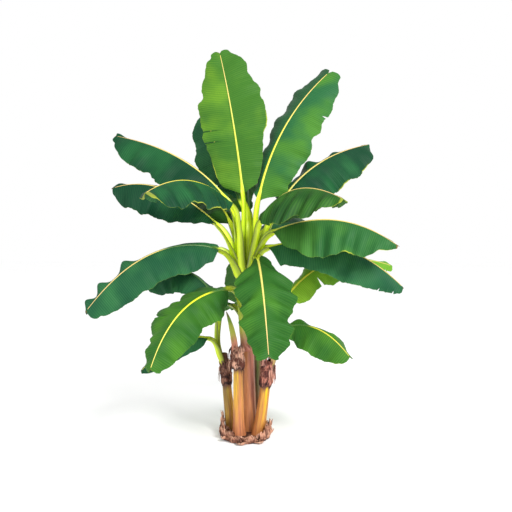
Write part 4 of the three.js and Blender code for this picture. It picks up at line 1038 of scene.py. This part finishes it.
for leaf in LEAVES:
    line = midrib_of(leaf)
    # Each tear has a narrow row of faces of its own, and the columns crowd toward the edges.
    shares = list(np.linspace(0, 1, BLADE_ROWS + 1))
    for _, place, *_ in leaf["tears"]:
        shares += [place - TEAR_ROW / 2, place + TEAR_ROW / 2]
    shares = np.array(sorted(shares))
    crowding = math.pi / 2 * BLADE_CROWDING
    spans = np.sin(np.linspace(-1, 1, BLADE_COLUMNS + 1) * crowding) / math.sin(crowding)
    laid = {}

    def blade_point(across, along):
        laid["row"] = np.rint(along * (len(shares) - 1)).astype(int)
        laid["column"] = np.rint(across * BLADE_COLUMNS).astype(int)
        points, laid["u"], laid["out"] = lay_blade(leaf, line, spans[laid["column"]], shares[laid["row"]])
        return points

    blade, across, along = grid_sheet(leaf["name"] + "_leaf", BLADE_COLUMNS, len(shares) - 1, blade_point)
    share = shares[laid["row"]]
    # Each blade's map starts at another place, so that no two blades have the same pattern.
    lay_map(blade, laid["u"] / 1000 + leaf["at"] / 100, share * line["blade"] / 1000 + leaf["tip"][0] / 100)
    mark(blade, "edge", laid["out"])
    dry = smooth((share - 1 + leaf["dry_tip"]) / TIP_FADE) * TIP_WITHERING
    for side, place, depth, *_ in leaf["tears"]:
        torn = np.exp(-np.abs(share - place) * line["blade"] / LIP_FADE)
        torn = torn * (laid["out"] > depth) * (laid["u"] * side > 0)
        dry = np.maximum(dry, torn * LIP_WITHERING)
    mark(blade, "dry", dry)
    gilt = np.zeros(len(share))
    for side, place, reach in leaf["gilt"]:
        near = np.exp(-(((share - place) * line["blade"] / reach) ** 4))
        gilt = np.maximum(gilt, near * (laid["u"] * side > 0))
    gilt = gilt + 2 * smooth((share - 1 + leaf["ripe_tip"]) / TIP_FADE) * (leaf["ripe_tip"] > 0)
    mark(blade, "gilt", gilt)
    # Painted light and shade, by half and toward the base.
    left_shading, right_shading, base_shading = leaf["painted_shading"]
    mark(blade, "painted_shading", np.where(laid["u"] < 0, left_shading, right_shading) + base_shading * (1 - share) ** 2)
    # The blade parts along its side veins where it is torn: the faces of the tear's own row are cut away.
    if leaf["tears"]:
        corners = np.array([tuple(face.vertices) for face in blade.data.polygons])
        first_row = laid["row"][corners].min(1)
        out = laid["out"][corners].min(1)
        u = laid["u"][corners].sum(1)
        cut = np.zeros(len(corners), bool)
        for side, place, depth, *_ in leaf["tears"]:
            cut |= (first_row == np.searchsorted(shares, place) - 1) & (out >= depth) & (u * side > 0)
        bpy.ops.object.mode_set(mode="EDIT")
        bpy.ops.mesh.select_mode(type="FACE")
        bpy.ops.object.mode_set(mode="OBJECT")
        blade.data.polygons.foreach_set("select", cut)
        bpy.ops.object.mode_set(mode="EDIT")
        bpy.ops.mesh.delete(type="FACE")
        bpy.ops.object.mode_set(mode="OBJECT")
    for finish in blades[leaf["tint"]]:
        blade.data.materials.append(finish)
    thicken(blade, BLADE_THICKNESS)

    lowest = -line["stalk"] - leaf["tail"]
    reaches = np.concatenate((np.linspace(lowest, -line["stalk"] - 20, TAIL_ROWS),
                              np.linspace(-line["stalk"], 0, STALK_ROWS),
                              np.linspace(12, line["blade"] * RIB_END, RIB_ROWS)))

    def stalk_point(across, along):
        laid["distance"] = reaches[np.rint(along * (len(reaches) - 1)).astype(int)]
        points, laid["side"] = lay_stalk(leaf, line, across, laid["distance"])
        return points

    stalk, across, along = grid_sheet(leaf["name"] + "_stalk", STALK_COLUMNS, len(reaches) - 1, stalk_point)
    lay_map(stalk, laid["side"], laid["distance"] / 1000)
    mark(stalk, "low", smooth((leaf["fade"] - line["stalk"] - laid["distance"]) / LOW_FADE))
    stalk.data.materials.append(ribs[leaf["rib"]])
    close_up(stalk, END_SIDES)
    whole = join([blade, stalk], leaf["name"] + "_leaf")
    shade(whole, THIN_EDGE)
    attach(whole, "root")
    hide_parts("leaf_" + leaf["name"])

# The bare stalk: what is left of a leaf whose blade is gone, a grooved stalk that curves up out of the front
# left sheath, pink at its base, green in the middle and withered to a brown point.
BARE_LINE = ((-104, -110, 560), (-118, -110, 830), (-186, -112, 995))
# The way that its groove looks.
BARE_FRONT = (0.25, -1.0, 0.1)
# Its radius at the foot and at the point, the power by which it tapers, and the groove as a share of the radius.
BARE_FOOT = 26
BARE_POINT = 3
BARE_TAPER = 3
BARE_GROOVE = 0.34
BARE_GRID = (28, 48)


def bare_point(across, along):
    start, over, end = (np.array(point, float) for point in BARE_LINE)
    t = along[:, None]
    place = (1 - t) ** 2 * start + 2 * t * (1 - t) * over + t**2 * end
    way = unit(2 * (1 - t) * (over - start) + 2 * t * (end - over))
    side = unit(np.cross(way, BARE_FRONT))
    front = np.cross(side, way)
    angle = 2 * math.pi * across
    radius = BARE_FOOT + (BARE_POINT - BARE_FOOT) * along**BARE_TAPER
    radius = radius * (1 - BARE_GROOVE * np.exp(-(((across - 0.25) * 9) ** 2)) + 0.03 * wander(along * 30, 1))
    radius = np.where((along < 0.001) | (along > 0.999), 0, radius)
    return place + side * (radius * np.cos(angle))[:, None] + front * (radius * np.sin(angle))[:, None]


bare, across, along = grid_sheet("bare_leaf_stalk", *BARE_GRID, bare_point)
lay_map(bare, across, along * 0.46)
close_up(bare)
shade(bare, SOLID_EDGE)
withered, tree = finish_named("withered stalk")
chart = own_map(tree)
threads = fibres(tree, chart, 26.0, 8.0)
climb = unsettle(tree, wire(tree, "SeparateXYZ", {"Vector": chart}).outputs["Y"], threads, 0.12)
colour = seen(206, 130, 104)
for start, end, tone in ((0.16, 0.27, (168, 176, 58)), (0.3, 0.38, (110, 146, 44)), (0.38, 0.45, (122, 96, 48))):
    colour = tinge(tree, colour, seen(*tone), climb, start, end)
colour = tinge(tree, colour, seen(120, 76, 50), threads, 0.52, 0.74, 0.0, 0.6)
cover(tree, colour, ramp(tree, threads, 0.3, 0.8, 0.42, 0.6), threads, 0.5, 0.002)
bare.data.materials.append(withered)
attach(bare, "root")
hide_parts("bare_stalk")

# The dry sheaths: where the old leaves of the three shorter stems have died back, their papery sheaths stay
# wrapped round the stem, split lengthways into ragged flaps and hanging shreds, red-brown with pale insides.
# Each row of flaps has the height of its foot, its length, its number of flaps and how far they stand off. The
# shreds start below the height to and hang about the heading toward, in degrees.
SHEATHS = {
    "front_left": {
        "rows": ((546, 118, 5, 4), (588, 124, 5, 9), (634, 92, 5, 16)), "to": 716, "shreds": 5, "toward": 200,
        "tones": ((236, 180, 154), (110, 62, 50), (36, 18, 18))},
    "front_right": {
        "rows": ((408, 120, 4, 5), (452, 126, 5, 11), (522, 136, 5, 16)), "to": 630, "shreds": 11, "toward": -12,
        "tones": ((180, 114, 96), (96, 50, 44), (32, 16, 18))},
    # The back left sheath's tones are darker than the other sheaths', as painted shade.
    "back_left": {
        "rows": ((374, 126, 4, 4), (426, 124, 4, 6), (478, 112, 4, 8)), "to": 610, "shreds": 3, "toward": 160,
        "tones": ((148, 104, 86), (86, 52, 44), (34, 24, 26))},
}
PALE_INSIDE = (246, 208, 186)
PALENESS = 0.28
PAPER_THICKNESS = 1.8
# Neighbouring flaps overlap. Each narrows, twists by some degrees and is creased toward its ragged top, and those
# that rise past the end of the stem close in over it.
FLAP_GRID = (18, 14)
FLAP_OVERLAP = 1.45
FLAP_NARROWING = 0.5
FLAP_TWIST = 14
FLAP_CREASE = 5
CLOSING_IN = 0.22
# Ranges: how far a flap strays round the stem from its even place, in places, how far its foot lies from its row,
# and its share of the row's length and of its stand. Each stem's rows start another few degrees round.
FLAP_SWING = (-0.2, 0.2)
ROW_TURN = 37
FLAP_FOOT = (-12, 12)
FLAP_LENGTH = (0.8, 1.15)
FLAP_STAND = (0.5, 1.3)
# A shred arches over and hangs away from the stem. Ranges: its heading, how far below the top it starts, its
# length and its width.
SHRED_GRID = (4, 14)
SHRED_ARCH = 16
SHRED_STAND = 26
SHRED_SPREAD = (-60, 60)
SHRED_START = (10, 120)
SHRED_LENGTH = (60, 120)
SHRED_WIDTH = (12, 26)
SEEDS = (0, 60)


def flap_of(stem, heading, low, tall, arc, flare, seed):
    """One torn flap: it lies on the stem at its foot and stands off, crumpled, toward its ragged top."""
    def flap_point(across, along):
        a = 2 * across - 1
        spread = math.radians(arc) / 2 * (1 - FLAP_NARROWING * along**2) * (1 + 0.08 * wander(along * 7, seed))
        angle = math.radians(heading) + a * spread + math.radians(FLAP_TWIST) * along * wander(seed, 2)
        tear = 0.22 * wander(a * 5.5 + 2 * seed, seed) - 0.3 * np.abs(np.sin(a * 4.4 + seed)) ** 3 * along**3
        height = low + tall * along * (0.9 + tear) - 14 * (1 - along) * wander(a * 4, seed + 7)
        crease = FLAP_CREASE * np.abs(np.sin(a * 7 + seed + 1.4 * along)) + 4 * along * wander(along * 9 + a * 3, seed)
        bulge = flare * along**2 * (1 + 0.6 * wander(a * 3, seed + 1)) + crease
        stand = 2 + 3 * smooth(along * 3) + bulge * smooth(along * 4)
        roll = -0.9 * flare * (np.abs(a) ** 3) * along
        above = np.clip(height - stem["height"] + 20, 0, None)
        radius = stem_radius(stem, height) + stand + roll - CLOSING_IN * above
        return round_line(stem_axis(stem, height), radius, angle)

    flap, across, along = grid_sheet("flap", *FLAP_GRID, flap_point)
    lay_map(flap, across * arc / 1000 + seed, along * tall / 1000)
    mark(flap, "rim", along)
    return flap


def shred_of(stem, heading, top, drop, wide, seed):
    """A narrow strip that has bent over outwards and hangs."""
    def shred_point(across, along):
        a = 2 * across - 1
        width = wide / 2 * (1 - along**2) + 1
        sideways = a * width + 7 * wander(along * 2.2, seed)
        height = top + SHRED_ARCH * np.sin(math.pi * along) - drop * along**1.6
        outward = stem_radius(stem, height) + 6 + SHRED_STAND * along**0.7 + 3 * wander(along * 4, seed + 2)
        out, round_stem = ways_at(heading)
        return stem_axis(stem, height) + out * outward[:, None] + round_stem * sideways[:, None]

    shred, across, along = grid_sheet("shred", *SHRED_GRID, shred_point)
    lay_map(shred, across * wide / 1000 + seed, along * drop / 1000)
    mark(shred, "rim", 0.5 + 0.5 * along)
    return shred


for number, (name, sheath) in enumerate(SHEATHS.items()):
    stem = STEMS[name]
    flaps = []
    for k, (low, tall, count, flare) in enumerate(sheath["rows"]):
        for n in range(count):
            heading = 360 * (n + 0.5 * k + dice.uniform(*FLAP_SWING)) / count + ROW_TURN * number
            flaps.append(flap_of(stem, heading, low + dice.uniform(*FLAP_FOOT), tall * dice.uniform(*FLAP_LENGTH),
                                 360 / count * FLAP_OVERLAP, flare * dice.uniform(*FLAP_STAND), dice.uniform(*SEEDS)))
    for n in range(sheath["shreds"]):
        heading = sheath["toward"] + dice.uniform(*SHRED_SPREAD)
        flaps.append(shred_of(stem, heading, sheath["to"] - dice.uniform(*SHRED_START), dice.uniform(*SHRED_LENGTH),
                              dice.uniform(*SHRED_WIDTH), dice.uniform(*SEEDS)))
    wrapping = join(flaps, name + "_sheath")
    inside = (mixed(tone, PALE_INSIDE, PALENESS) for tone in sheath["tones"])
    wrapping.data.materials.append(dry_finish(name + " sheath outside", *sheath["tones"]))
    wrapping.data.materials.append(dry_finish(name + " sheath inside", *inside))
    thicken(wrapping, PAPER_THICKNESS)
    shade(wrapping, SOLID_EDGE)
    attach(wrapping, "root")
    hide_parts("sheath_" + name)
